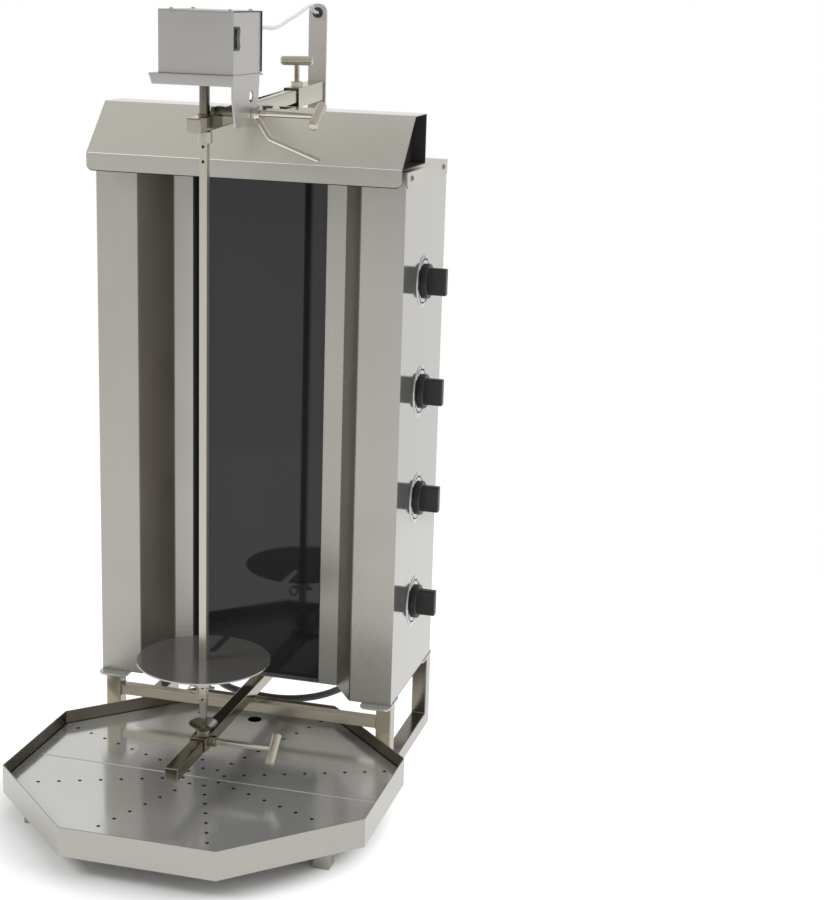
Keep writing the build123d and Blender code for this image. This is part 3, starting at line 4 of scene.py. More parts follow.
import bmesh
import bpy
from mathutils import Matrix, Vector
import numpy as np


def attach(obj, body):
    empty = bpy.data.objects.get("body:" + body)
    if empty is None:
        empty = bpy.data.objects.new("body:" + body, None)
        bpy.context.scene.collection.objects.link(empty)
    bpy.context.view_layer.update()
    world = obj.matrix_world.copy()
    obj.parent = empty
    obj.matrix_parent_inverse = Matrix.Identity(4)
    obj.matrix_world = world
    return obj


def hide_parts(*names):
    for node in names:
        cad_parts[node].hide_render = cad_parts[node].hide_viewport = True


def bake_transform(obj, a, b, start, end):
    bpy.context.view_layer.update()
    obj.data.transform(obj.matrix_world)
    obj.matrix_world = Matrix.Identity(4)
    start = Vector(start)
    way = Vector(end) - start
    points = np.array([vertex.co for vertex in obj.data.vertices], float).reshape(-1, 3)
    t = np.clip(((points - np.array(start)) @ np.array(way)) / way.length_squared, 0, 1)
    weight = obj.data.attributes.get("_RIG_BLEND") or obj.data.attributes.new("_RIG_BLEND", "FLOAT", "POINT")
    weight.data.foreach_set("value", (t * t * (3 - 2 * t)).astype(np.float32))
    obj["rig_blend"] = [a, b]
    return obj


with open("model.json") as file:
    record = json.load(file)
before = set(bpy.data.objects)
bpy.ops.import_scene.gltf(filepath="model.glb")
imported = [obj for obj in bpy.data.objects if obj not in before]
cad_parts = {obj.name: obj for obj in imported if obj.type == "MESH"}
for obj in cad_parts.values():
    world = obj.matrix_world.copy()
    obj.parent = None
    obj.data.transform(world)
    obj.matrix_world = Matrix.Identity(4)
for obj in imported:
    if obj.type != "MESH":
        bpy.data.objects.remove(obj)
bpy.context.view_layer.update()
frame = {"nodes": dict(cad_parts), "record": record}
nodes = frame["nodes"]
scene = bpy.context.scene
bodyOfNode = {n: body for body, names in frame["record"]["behaviour"]["bodies"].items() for n in names}
print("frame", len(nodes), "nodes")


# small helpers; all lengths are in metres
def linkObject(name, data):
    obj = bpy.data.objects.new(name, data)
    scene.collection.objects.link(obj)
    return obj


def meshFrom(name, verts, faces=(), edges=()):
    mesh = bpy.data.meshes.new(name)
    mesh.from_pydata(verts, edges, faces)
    mesh.update()
    return mesh


# faces that meet at less than this angle, in degrees, are shaded as one
smoothUnder = {"trim": 40, "rod": 35, "cord": 50, "bead": 60}


def smoothByAngle(mesh, degrees):
    mesh.polygons.foreach_set("use_smooth", [True] * len(mesh.polygons))
    mesh.set_sharp_from_angle(angle=radians(degrees))


# turns a bmesh into a shaded mesh
def closeMesh(bm, name, degrees):
    mesh = bpy.data.meshes.new(name)
    bm.to_mesh(mesh)
    bm.free()
    smoothByAngle(mesh, degrees)
    return mesh


# faces between two closed loops with as many points
def bridgeLoops(bm, a, b):
    for i in range(len(a)):
        k = (i + 1) % len(a)
        bm.faces.new((a[i], a[k], b[k], b[i]))


def evaluatedMesh(obj):
    bpy.context.view_layer.update()
    graph = bpy.context.evaluated_depsgraph_get()
    return bpy.data.meshes.new_from_object(obj.evaluated_get(graph))


# turns the modifiers of an object into its own plain mesh
def bakeShape(obj):
    done = evaluatedMesh(obj)
    obj.modifiers.clear()
    obj.data = done


def finishPiece(obj, body, material, replaced=()):
    obj.data.materials.clear()
    obj.data.materials.append(material)
    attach(obj, body)
    if replaced:
        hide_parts(*replaced)
    return obj


# small piece of trim from a bmesh
def trimPiece(bm, name, body, material):
    return finishPiece(linkObject(name, closeMesh(bm, name, smoothUnder["trim"])), body, material)


# camera at the photograph's angle
cameraLook = {
    "eye": (0.8041, -2.2090, 1.0929),
    "turn": 14.27, "rise": 14.64, "roll": 1.83,
    "lens": 77.68, "sensor": 36.0, "near": 0.05, "far": 60,
}


def addCamera(look):
    turn, rise, roll = (radians(look[k]) for k in ("turn", "rise", "roll"))
    back = Vector((sin(turn) * cos(rise), -cos(turn) * cos(rise), sin(rise)))
    right = (-back).cross(Vector((0, 0, 1))).normalized()
    up = right.cross(-back)
    side = cos(roll) * right + sin(roll) * up
    top = cos(roll) * up - sin(roll) * right
    data = bpy.data.cameras.new("photoCamera")
    data.sensor_fit = "HORIZONTAL"
    data.sensor_width = look["sensor"]
    data.lens = look["lens"]
    data.clip_start, data.clip_end = look["near"], look["far"]
    cam = linkObject("photoCamera", data)
    cam.matrix_world = Matrix.Translation(look["eye"]) @ Matrix((side, top, back)).transposed().to_4x4()
    scene.camera = cam


# node helpers
def addNode(tree, kind, inputs=None, **settings):
    node = tree.nodes.new(kind)
    for key, value in settings.items():
        setattr(node, key, value)
    for key, value in (inputs or {}).items():
        node.inputs[key].default_value = value
    return node


def emptyTree(owner):
    owner.use_nodes = True
    owner.node_tree.nodes.clear()
    return owner.node_tree


def spread(tree, value, low, high, fromLow=0.3, fromHigh=0.7, kind="LINEAR"):
    limits = {"From Min": fromLow, "From Max": fromHigh, "To Min": low, "To Max": high}
    node = addNode(tree, "ShaderNodeMapRange", limits, interpolation_type=kind)
    tree.links.new(value, node.inputs["Value"])
    return node.outputs[0]


def addValues(tree, a, b, operation="ADD"):
    node = addNode(tree, "ShaderNodeMath", operation=operation)
    tree.links.new(a, node.inputs[0])
    if isinstance(b, (int, float)):
        node.inputs[1].default_value = b
    else:
        tree.links.new(b, node.inputs[1])
    return node.outputs[0]


# each of the two colours is a tuple or another node's output
def blendColors(tree, share, dark, light):
    node = addNode(tree, "ShaderNodeMix", data_type="RGBA")
    tree.links.new(share, node.inputs["Factor"])
    for socket, color in zip([s for s in node.inputs if s.type == "RGBA"], (dark, light)):
        if isinstance(color, tuple):
            socket.default_value = (*color, 1)
        else:
            tree.links.new(color, socket)
    return next(s for s in node.outputs if s.type == "RGBA")


def mixShaders(tree, share, first, second):
    node = addNode(tree, "ShaderNodeMixShader")
    for socket, value in zip(node.inputs, (share, first, second)):
        tree.links.new(value, socket)
    return node.outputs[0]


def splitPlace(tree, kind):
    split = addNode(tree, "ShaderNodeSeparateXYZ")
    tree.links.new(addNode(tree, "ShaderNodeTexCoord").outputs[kind], split.inputs[0])
    return split.outputs


def mirroredRays(tree, path):
    return addValues(tree, path.outputs["Is Glossy Ray"], path.outputs["Is Transmission Ray"], "MAXIMUM")


# bright room that is dimmer behind the camera, pale floor that turns white round the part, soft boxes
stageLook = {
    "roomLight": 0.62, "roomColor": (1, 1, 1, 1), "mirrorColor": (0.8, 0.8, 0.8, 1),
    "frontLight": 0.5, "sideLight": 1.0, "frontFrom": -0.95, "frontTo": -0.15,
    "levelLight": 1.0, "topLight": 0.6, "topFrom": 0.3, "topTo": 0.85,
    "floorSize": 30.0, "floorColor": (0.9, 0.9, 0.9, 1), "middle": (-0.03, -0.14, 0),
    "whiteFrom": 0.23, "whiteTo": 0.31,
    "sheetLight": 1.12, "beyondLight": 1.0, "sheetEnd": 1.45, "sheetFade": 0.12,
    "aim": (0, 0, 0.45),
    "boxes": [
        {"name": "keyBox", "place": (-2.3, -1.7, 2.5), "size": 1.2, "power": 52.0},
        {"name": "rightBox", "place": (2.3, -0.2, 1.9), "size": 1.8, "power": 16.0},
        {"name": "topBox", "place": (0.2, 0.5, 3.0), "size": 2.2, "power": 20.0},
    ],
}


def addRoom(look):
    world = bpy.data.worlds.new("studioRoom")
    scene.world = world
    tree = emptyTree(world)
    out = addNode(tree, "ShaderNodeOutputWorld")
    light = addNode(tree, "ShaderNodeBackground", {"Color": look["roomColor"], "Strength": look["roomLight"]})
    shown = addNode(tree, "ShaderNodeBackground", {"Color": look["roomColor"]})
    mirror = addNode(tree, "ShaderNodeBackground", {"Color": look["mirrorColor"]})
    place = splitPlace(tree, "Generated")
    ahead = spread(tree, place["Y"], look["frontLight"], look["sideLight"],
                   look["frontFrom"], look["frontTo"], "SMOOTHSTEP")
    above = spread(tree, place["Z"], look["levelLight"], look["topLight"],
                   look["topFrom"], look["topTo"], "SMOOTHSTEP")
    tree.links.new(addValues(tree, ahead, above, "MULTIPLY"), mirror.inputs["Strength"])
    path = addNode(tree, "ShaderNodeLightPath")
    unseen = mixShaders(tree, mirroredRays(tree, path), light.outputs[0], mirror.outputs[0])
    tree.links.new(mixShaders(tree, path.outputs["Is Camera Ray"], unseen, shown.outputs[0]), out.inputs[0])


def addFloor(look):
    half = look["floorSize"] / 2
    corners = [(-half, -half, 0), (half, -half, 0), (half, half, 0), (-half, half, 0)]
    floor = linkObject("floor", meshFrom("floor", corners, [(0, 1, 2, 3)]))
    mat = bpy.data.materials.new("paleFloor")
    tree = emptyTree(mat)
    out = addNode(tree, "ShaderNodeOutputMaterial")
    paint = addNode(tree, "ShaderNodeBsdfDiffuse", {"Color": look["floorColor"]})
    white = addNode(tree, "ShaderNodeEmission")
    reach = addNode(tree, "ShaderNodeVectorMath", {1: look["middle"]}, operation="DISTANCE")
    tree.links.new(addNode(tree, "ShaderNodeTexCoord").outputs["Object"], reach.inputs[0])
    away = reach.outputs["Value"]
    sheetEnd = look["sheetEnd"]
    sheet = spread(tree, away, look["sheetLight"], look["beyondLight"],
                   sheetEnd, sheetEnd + look["sheetFade"], "SMOOTHSTEP")
    tree.links.new(sheet, white.inputs["Strength"])
    path = addNode(tree, "ShaderNodeLightPath")
    viewed = addValues(tree, mirroredRays(tree, path), path.outputs["Is Camera Ray"], "MAXIMUM")
    fade = spread(tree, away, 0, 1, look["whiteFrom"], look["whiteTo"], "SMOOTHSTEP")
    share = addValues(tree, fade, viewed, "MULTIPLY")
    tree.links.new(mixShaders(tree, share, paint.outputs[0], white.outputs[0]), out.inputs[0])
    floor.data.materials.append(mat)


def addBoxes(look):
    for box in look["boxes"]:
        lamp = bpy.data.lights.new(box["name"], "AREA")
        lamp.shape = "SQUARE"
        lamp.size = box["size"]
        lamp.energy = box["power"]
        obj = linkObject(box["name"], lamp)
        obj.location = box["place"]
        obj.visible_glossy = False
        obj.rotation_euler = (Vector(look["aim"]) - Vector(box["place"])).to_track_quat("-Z", "Y").to_euler()


addCamera(cameraLook)
addRoom(stageLook)
addFloor(stageLook)
addBoxes(stageLook)
scene.view_settings.view_transform = "Standard"
print("stage done")


# finishes
def newFinish(name, base, rough, metal=0.0, **sockets):
    mat = bpy.data.materials.new(name)
    mat.use_nodes = True
    shader = mat.node_tree.nodes["Principled BSDF"]
    shader.inputs["Base Color"].default_value = (*base, 1)
    shader.inputs["Roughness"].default_value = rough
    shader.inputs["Metallic"].default_value = metal
    for key, value in sockets.items():
        shader.inputs[key].default_value = value
    return mat, mat.node_tree, shader


# noise on Object coordinates, stretched by a scale for each axis
def stretchedNoise(tree, scales, detail=3.0, rough=0.55):
    mapping = addNode(tree, "ShaderNodeMapping", {"Scale": scales})
    noise = addNode(tree, "ShaderNodeTexNoise", {"Scale": 1.0, "Detail": detail, "Roughness": rough})
    tree.links.new(addNode(tree, "ShaderNodeTexCoord").outputs["Object"], mapping.inputs[0])
    tree.links.new(mapping.outputs[0], noise.inputs["Vector"])
    return noise.outputs["Fac"]


def evenNoise(tree, scale, detail=3.0):
    return stretchedNoise(tree, (scale, scale, scale), detail)


def addBump(tree, shader, height, strength, distance):
    bump = addNode(tree, "ShaderNodeBump", {"Strength": strength, "Distance": distance})
    tree.links.new(height, bump.inputs["Height"])
    tree.links.new(bump.outputs[0], shader.inputs["Normal"])


# painted shade: darker band where the cheeks face the dark glass, by distance from the middle plane
def cheekShadeBand(tree, color, look):
    away = addValues(tree, splitPlace(tree, "Object")["X"], 0, "ABSOLUTE")
    inner = spread(tree, away, 0, 1, look["from"] - look["fadeIn"], look["from"])
    outer = spread(tree, away, 1, 0, look["to"], look["to"] + look["fadeOut"])
    return blendColors(tree, addValues(tree, inner, outer, "MULTIPLY"), color, look["tint"])


# brushed sheet: grain runs along one axis, with few waves along it and many across it
brush = {
    "grain": {"x": (9, 900, 900), "y": (900, 9, 900), "z": (900, 900, 9)},
    "streak": {"x": (1.3, 70, 70), "y": (70, 1.3, 70), "z": (70, 70, 1.3)},
    "cloud": (7, 7, 7), "toneFrom": 0.75, "toneTo": 1.25,
    "grainRough": 0.006, "smoother": 0.05, "rougher": 0.06, "depth": 0.00006,
}


def brushedSteel(name, look):
    mat, tree, shader = newFinish(name, look["tint"], look["rough"], look["metal"])
    grain = stretchedNoise(tree, brush["grain"][look["grain"]], detail=2.0)
    streak = stretchedNoise(tree, brush["streak"][look["grain"]])
    cloud = stretchedNoise(tree, brush["cloud"], detail=3.0, rough=0.6)
    tone = spread(tree, addValues(tree, streak, cloud), 0, 1, brush["toneFrom"], brush["toneTo"])
    color = blendColors(tree, tone, tuple(c * look["dark"] for c in look["tint"]), look["tint"])
    # painted shade band on the cheeks, where the look has one
    if "heat" in look:
        color = cheekShadeBand(tree, color, look["heat"])
    tree.links.new(color, shader.inputs["Base Color"])
    ripple = spread(tree, grain, -brush["grainRough"], brush["grainRough"])
    patches = spread(tree, cloud, look["rough"] - brush["smoother"], look["rough"] + brush["rougher"])
    tree.links.new(addValues(tree, ripple, patches), shader.inputs["Roughness"])
    addBump(tree, shader, grain, look["bump"], brush["depth"])
    return mat


# painted shade on the cheeks: where the band lies and its dark tint
cheekShadeLook = {"from": 0.1245, "to": 0.1575, "fadeIn": 0.002, "fadeOut": 0.0005, "tint": (0.145, 0.13, 0.108)}

# dark is the share of the tint in the darker patches
steelLooks = {
    "backSteel": dict(tint=(0.45, 0.44, 0.403), metal=0.8, rough=0.22, grain="z", dark=0.975, bump=0.04),
    "columnSteel": dict(tint=(0.432, 0.42, 0.38), metal=0.75, rough=0.3, grain="z", dark=0.98, bump=0.002,
                        heat=cheekShadeLook),
    "sideSteel": dict(tint=(0.44, 0.432, 0.405), metal=0.8, rough=0.12, grain="z", dark=0.98, bump=0.015),
    # painted highlight on the hood's fold and flat top, painted shade on its front flange
    "foldHighlight": dict(tint=(0.95, 0.94, 0.9), metal=0.3, rough=0.3, grain="x", dark=0.98, bump=0.006),
    "coverSteel": dict(tint=(0.54, 0.525, 0.465), metal=0.5, rough=0.34, grain="x", dark=0.985, bump=0.002),
    "coverFlangeShade": dict(tint=(0.455, 0.443, 0.4), metal=0.5, rough=0.32, grain="x", dark=0.985, bump=0.002),
    "coverTop": dict(tint=(0.86, 0.85, 0.81), metal=0.85, rough=0.14, grain="x", dark=0.98, bump=0.01),
    "headSteel": dict(tint=(0.485, 0.475, 0.452), metal=0.7, rough=0.27, grain="x", dark=0.985, bump=0.002),
    "traySteel": dict(tint=(0.432, 0.418, 0.38), metal=0.88, rough=0.2, grain="x", dark=0.975, bump=0.04),
    # painted shade for the inner walls of the drip tray
    "trayInnerShade": dict(tint=(0.21, 0.19, 0.155), metal=0.9, rough=0.2, grain="z", dark=0.9, bump=0.04),
    "strainerSteel": dict(tint=(0.7, 0.695, 0.67), metal=0.76, rough=0.15, grain="y", dark=0.98, bump=0.015),
    "postSteel": dict(tint=(0.58, 0.53, 0.40), metal=0.85, rough=0.22, grain="z", dark=0.95, bump=0.08),
    # painted shade on the side frames: a darker copy of the post steel for their side faces, darker still for
    # their tops and inner rear faces
    "frameSide": dict(tint=(0.4, 0.387, 0.35), metal=0.8, rough=0.22, grain="z", dark=0.96, bump=0.03),
    "frameInsideShade": dict(tint=(0.235, 0.21, 0.178), metal=0.9, rough=0.2, grain="z", dark=0.93, bump=0.03),
    "barSteel": dict(tint=(0.74, 0.685, 0.55), metal=0.92, rough=0.16, grain="x", dark=0.93, bump=0.03),
    "railSteel": dict(tint=(0.37, 0.338, 0.265), metal=0.97, rough=0.13, grain="y", dark=0.93, bump=0.03),
    "armSteel": dict(tint=(0.52, 0.495, 0.415), metal=0.88, rough=0.15, grain="y", dark=0.97, bump=0.015),
    # darker steel for the tray feet, and painted shade on the arm's front end face
    "armTip": dict(tint=(0.38, 0.36, 0.3), metal=0.88, rough=0.18, grain="x", dark=0.97, bump=0.01),
    "uprightSteel": dict(tint=(0.56, 0.525, 0.49), metal=0.6, rough=0.34, grain="z", dark=0.97, bump=0.08),
    "spitSteel": dict(tint=(0.53, 0.508, 0.43), metal=0.85, rough=0.22, grain="z", dark=0.95, bump=0.04),
    "plateSteel": dict(tint=(0.42, 0.41, 0.395), metal=0.85, rough=0.12, grain="x", dark=0.96, bump=0.05),
    "innerSteel": dict(tint=(0.42, 0.41, 0.39), metal=0.8, rough=0.42, grain="x", dark=0.9, bump=0.2),
    "shadedSteel": dict(tint=(0.055, 0.053, 0.05), metal=0.4, rough=0.5, grain="x", dark=0.85, bump=0.2),
    "padSteel": dict(tint=(0.60, 0.59, 0.56), metal=0.7, rough=0.26, grain="x", dark=0.96, bump=0.08),
}
steel = {name: brushedSteel(name, look) for name, look in steelLooks.items()}


# links a noise to the roughness, from low to high, and to the colour, from dark to light
def cloudOver(tree, shader, cloud, low, high, dark, light):
    tree.links.new(spread(tree, cloud, low, high), shader.inputs["Roughness"])
    tree.links.new(blendColors(tree, cloud, dark, light), shader.inputs["Base Color"])


handleLook = {"base": (0.72, 0.68, 0.60), "dark": (0.62, 0.58, 0.50), "light": (0.76, 0.72, 0.65),
              "cloud": 60, "smooth": 0.12, "rough": 0.24, "fine": 700, "bump": 0.15, "depth": 0.00005}


def polishedSteel(name, look):
    mat, tree, shader = newFinish(name, look["base"], look["smooth"], 1.0)
    cloud = evenNoise(tree, look["cloud"])
    cloudOver(tree, shader, cloud, look["smooth"], look["rough"], look["dark"], look["light"])
    addBump(tree, shader, evenNoise(tree, look["fine"], detail=2.0), look["bump"], look["depth"])
    return mat


glassLook = {"dark": (0.009, 0.009, 0.0095), "light": (0.018, 0.018, 0.018), "smear": (5, 5, 2),
             "smooth": 0.02, "rough": 0.07, "bend": 1.47}


def darkGlass(name, look):
    mat, tree, shader = newFinish(name, look["dark"], look["smooth"], IOR=look["bend"])
    smear = stretchedNoise(tree, look["smear"], detail=4.0, rough=0.6)
    cloudOver(tree, shader, smear, look["smooth"], look["rough"], look["dark"], look["light"])
    return mat


plasticLook = {"cloud": 35, "smoother": 0.06, "rougher": 0.08, "wear": 1.35, "lift": 0.004,
               "bump": 0.25, "depth": 0.00012}


def mouldedPlastic(name, base, rough, fine=900):
    look = plasticLook
    mat, tree, shader = newFinish(name, base, rough)
    worn = tuple(min(1, c * look["wear"] + look["lift"]) for c in base)
    cloud = evenNoise(tree, look["cloud"])
    cloudOver(tree, shader, cloud, rough - look["smoother"], rough + look["rougher"], base, worn)
    addBump(tree, shader, evenNoise(tree, fine, detail=2.0), look["bump"], look["depth"])
    return mat


rubberLook = {"dust": 22, "fine": 420, "smoother": 0.08, "rougher": 0.1, "wear": 1.5, "lift": 0.006,
              "bump": 0.3, "depth": 0.0001}


def cordRubber(name, base, rough):
    look = rubberLook
    mat, tree, shader = newFinish(name, base, rough)
    dusty = tuple(c * look["wear"] + look["lift"] for c in base)
    dust = evenNoise(tree, look["dust"], detail=4.0)
    cloudOver(tree, shader, dust, rough - look["smoother"], rough + look["rougher"], base, dusty)
    addBump(tree, shader, evenNoise(tree, look["fine"]), look["bump"], look["depth"])
    return mat


metalLook = {"cloud": 80, "smoother": 0.06, "rougher": 0.1, "dark": 0.8}


def machinedMetal(name, base, rough, metal=1.0):
    look = metalLook
    mat, tree, shader = newFinish(name, base, rough, metal)
    dark = tuple(c * look["dark"] for c in base)
    cloud = evenNoise(tree, look["cloud"])
    cloudOver(tree, shader, cloud, rough - look["smoother"], rough + look["rougher"], dark, base)
    return mat


woolLook = {"dark": (0.5, 0.45, 0.33), "light": (0.78, 0.72, 0.56), "rough": 0.95, "fibre": (160, 160, 600),
            "bump": 0.8, "depth": 0.0012}


def fibreWool(name, look):
    mat, tree, shader = newFinish(name, look["light"], look["rough"])
    fibre = stretchedNoise(tree, look["fibre"], detail=5.0, rough=0.7)
    tree.links.new(blendColors(tree, fibre, look["dark"], look["light"]), shader.inputs["Base Color"])
    addBump(tree, shader, fibre, look["bump"], look["depth"])
    return mat


finish = {
    "handle": polishedSteel("handleSteel", handleLook),
    "glass": darkGlass("heaterGlass", glassLook),
    "knob": mouldedPlastic("knobPlastic", (0.016, 0.016, 0.017), 0.42),
    "plastic": mouldedPlastic("blackPlastic", (0.02, 0.02, 0.021), 0.36),
    "rubber": cordRubber("sealRubber", (0.02, 0.02, 0.02), 0.6),
    "mains": cordRubber("mainsRubber", (0.022, 0.022, 0.024), 0.5),
    "lead": mouldedPlastic("leadSheath", (0.6, 0.6, 0.61), 0.25, fine=500),
    "iron": machinedMetal("heaterIron", (0.13, 0.125, 0.12), 0.6),
    "wool": fibreWool("mineralWool", woolLook),
    "brass": machinedMetal("pinBrass", (0.8, 0.68, 0.42), 0.25),
    "motor": mouldedPlastic("motorPaint", (0.2, 0.21, 0.22), 0.4),
    "weld": machinedMetal("weldSteel", (0.46, 0.43, 0.37), 0.34),
    "shade": machinedMetal("shadedEdge", (0.045, 0.043, 0.04), 0.45),
    "satin": machinedMetal("satinSteel", (0.68, 0.63, 0.52), 0.27, metal=0.85),
    "chrome": machinedMetal("chromePlate", (0.58, 0.585, 0.59), 0.1),
    "cup": machinedMetal("cupSteel", (0.6, 0.57, 0.5), 0.3),
    "shaft": machinedMetal("shaftSteel", (0.21, 0.192, 0.155), 0.1),
    # bronze, darkened as painted shade for the dark line where the shaft enters the arm
    "bush": machinedMetal("bushBronze", (0.19, 0.15, 0.095), 0.3),
    # painted shade: the pivot stub is darkened to stand for the shade beside the bracket
    "stub": machinedMetal("stubSteel", (0.17, 0.155, 0.122), 0.2),
    "thread": machinedMetal("threadSteel", (0.3, 0.28, 0.23), 0.36),
    "ink": mouldedPlastic("dialInk", (0.02, 0.02, 0.02), 0.5),
}

nodeFinish = {
    "columnSteel": ["side_panel_right", "side_panel_left"],
    "backSteel": ["rear_panel", "mast_duct"],
    "coverSteel": ["hood", "top_cover"],
    "innerSteel": ["bottom_plate", "heater_tray"],
    "shadedSteel": ["hood_floor"],
    "padSteel": ["post_pads"],
    "headSteel": ["motor_case", "motor_lid", "motor_bracket"],
    "traySteel": ["drip_tray"],
    "strainerSteel": ["strainer_front", "strainer_rear"],
    "postSteel": ["side_frame_right", "side_frame_left"],
    "armTip": ["tray_feet"],
    "barSteel": ["crossbars"],
    "railSteel": ["slide_rail", "collar"],
    "armSteel": ["upper_arm", "arm_sleeve"],
    "uprightSteel": ["upright"],
    "spitSteel": ["spit_bar"],
    "plateSteel": ["meat_plate"],
    "handle": ["sleeve_handle", "clamp_handle", "collar_handle", "lock_lever", "mast_bolts", "cover_screws"],
    "chrome": ["bezels"],
    "shaft": ["drive_shaft"],
    "cup": ["spit_cup"],
    "weld": ["plate_pin"],
    "stub": ["pivot_stub"],
    "bush": ["arm_bush"],
    "glass": ["glass_panel"],
    "iron": ["heaters"],
    "wool": ["insulation"],
    "rubber": ["glass_seals", "lead_grommets", "case_bush"],
    "knob": ["knob_1", "knob_2", "knob_3", "knob_4"],
    "plastic": ["switch_frame", "rocker", "regulators", "cable_gland", "plug"],
    "mains": ["mains_cable", "mains_coil", "plug_lead"],
    "lead": ["motor_lead"],
    "brass": ["plug_pins"],
    "motor": ["gear_motor"],
}
materialOf = {}
for name, members in nodeFinish.items():
    for node in members:
        materialOf[node] = steel.get(name) or finish[name]
        nodes[node].data.materials.clear()
        nodes[node].data.materials.append(materialOf[node])
print("finishes done", len(materialOf))


# eased edges: merged copies of the plain nodes with bevels of these widths, shaded flat by face weight
easedEdges = {
    "side_frame_right": 0.0016, "side_frame_left": 0.0016, "crossbars": 0.0012, "slide_rail": 0.0015,
    "upper_arm": 0.0015, "arm_sleeve": 0.0006, "collar": 0.0008, "upright": 0.0007, "post_pads": 0.0006,
    "tray_feet": 0.0006, "motor_case": 0.0006, "motor_lid": 0.0006, "motor_bracket": 0.0008,
    "pivot_stub": 0.0006, "drive_shaft": 0.0004, "hood": 0.0011, "top_cover": 0.0006,
    "side_panel_right": 0.0005, "side_panel_left": 0.0005, "bottom_plate": 0.0004, "rear_panel": 0.0004,
    "mast_duct": 0.0006, "drip_tray": 0.0006, "strainer_front": 0.0012, "strainer_rear": 0.0012,
    "spit_bar": 0.0006, "switch_frame": 0.0004, "rocker": 0.0005, "plug": 0.0008, "cable_gland": 0.0004,
    "knob_1": 0.0006, "knob_2": 0.0006, "knob_3": 0.0006, "knob_4": 0.0006,
}
shortestEased = {"strainer_front": 0.006, "strainer_rear": 0.006, "rear_panel": 0.006, "spit_bar": 0.006,
                 "plug": 0.003}
foldedTops = ["strainer_front", "strainer_rear"]  # only their top edges are eased
easing = {"mergeWithin": 0.00001, "flatWithin": 0.8, "sharpFrom": 38, "topBand": 0.0001,
          "segments": 2, "smooth": 46}


def pieceName(node):
    first, *rest = node.split("_")
    return first + "".join(word.capitalize() for word in rest) + "Piece"


def mergedCopy(node, name):
    mesh = nodes[node].data.copy()
    mesh.name = name
    bm = bmesh.new()
    bm.from_mesh(mesh)
    bmesh.ops.remove_doubles(bm, verts=bm.verts, dist=easing["mergeWithin"])
    bmesh.ops.dissolve_limit(bm, angle_limit=radians(easing["flatWithin"]), verts=bm.verts, edges=bm.edges)
    bm.to_mesh(mesh)
    bm.free()
    return mesh


def easedCopy(node, width, shortest):
    name = pieceName(node)
    mesh = mergedCopy(node, name)
    bm = bmesh.new()
    bm.from_mesh(mesh)
    weight = bm.edges.layers.float.new("bevel_weight_edge")
    lowest = max(v.co.z for v in bm.verts) - easing["topBand"] if node in foldedTops else -1
    sharp = radians(easing["sharpFrom"])
    for edge in bm.edges:
        if len(edge.link_faces) == 2 and edge.calc_face_angle() > sharp and edge.calc_length() > shortest:
            edge[weight] = 1.0 if min(v.co.z for v in edge.verts) > lowest else 0.0
    bm.to_mesh(mesh)
    bm.free()
    obj = linkObject(name, mesh)
    bevel = obj.modifiers.new("ease", "BEVEL")
    bevel.width = width
    bevel.segments = easing["segments"]
    bevel.limit_method = "WEIGHT"
    bevel.use_clamp_overlap = False
    bakeShape(obj)
    smoothByAngle(obj.data, easing["smooth"])
    obj.modifiers.new("flat", "WEIGHTED_NORMAL").keep_sharp = True
    bakeShape(obj)
    return finishPiece(obj, bodyOfNode[node], materialOf[node], [node])


eased = {node: easedCopy(node, width, shortestEased.get(node, 0.0)) for node, width in easedEdges.items()}


# second finish on the faces that a test picks by their normal and centre
def repaint(node, material, picks):
    mesh = eased[node].data
    mesh.materials.append(material)
    for face in mesh.polygons:
        if picks(face.normal, face.center):
            face.material_index = len(mesh.materials) - 1


square, frontSquare = 0.9, 0.97  # least share of the normal along an axis, for a face across that axis
upright = 0.3  # most share of the normal along z, for a wall
faceLimits = {"sleeveMouth": 0.215, "socketTop": 0.9112, "frameRear": 0.1, "spitHoles": 0.165,
              "spitHoleReach": 0.0044, "trayFloor": 0.06, "strainerTop": 0.0488, "flangeFront": 0.01,
              "hoodRear": 0.1, "panelSide": 0.2165}
hoodFold = {"along": 0.1, "front": 0.62, "up": 0.2, "below": 0.9}
trayMiddle = Vector((0, -0.122, 0))
spitAxis = Vector((-0.002, -0.127, 0))
level = Vector((1, 1, 0))


def inSpitHole(n, c):
    reach = max(abs(c.x - spitAxis.x), abs(c.y - spitAxis.y))
    return c.z > faceLimits["spitHoles"] and reach < faceLimits["spitHoleReach"]


# faces of the side frames that get the deeper painted shade: tops, and inner faces at the rear
def frameShadeFaces(n, c):
    return n.z > square or (n.y < -square and c.y > faceLimits["frameRear"])


def onTrayWall(n, c):
    return n.dot((trayMiddle - c) * level) > 0 and abs(n.z) < upright


def underHood(n, c):
    return n.z < -upright or (n.y < -square and c.y > faceLimits["hoodRear"])


def onHoodFold(n, c):
    fold = hoodFold
    leaning = abs(n.x) < fold["along"] and -frontSquare < n.y < -fold["front"]
    return leaning and n.z > fold["up"] and c.z < fold["below"]


repaint("arm_sleeve", finish["shade"], lambda n, c: n.y < -square and c.y < faceLimits["sleeveMouth"])
# painted shade: the arm's front end face in a darker steel
repaint("upper_arm", steel["armTip"], lambda n, c: n.y < -square)
repaint("drive_shaft", finish["cup"], lambda n, c: c.z < faceLimits["socketTop"])
# painted shade on the side frames, by the way their faces point
for node in ("side_frame_right", "side_frame_left"):
    repaint(node, steel["frameSide"], lambda n, c: abs(n.x) > square)
    repaint(node, steel["frameInsideShade"], frameShadeFaces)
repaint("slide_rail", finish["shade"], lambda n, c: n.z < -square)
repaint("spit_bar", finish["shade"], inSpitHole)
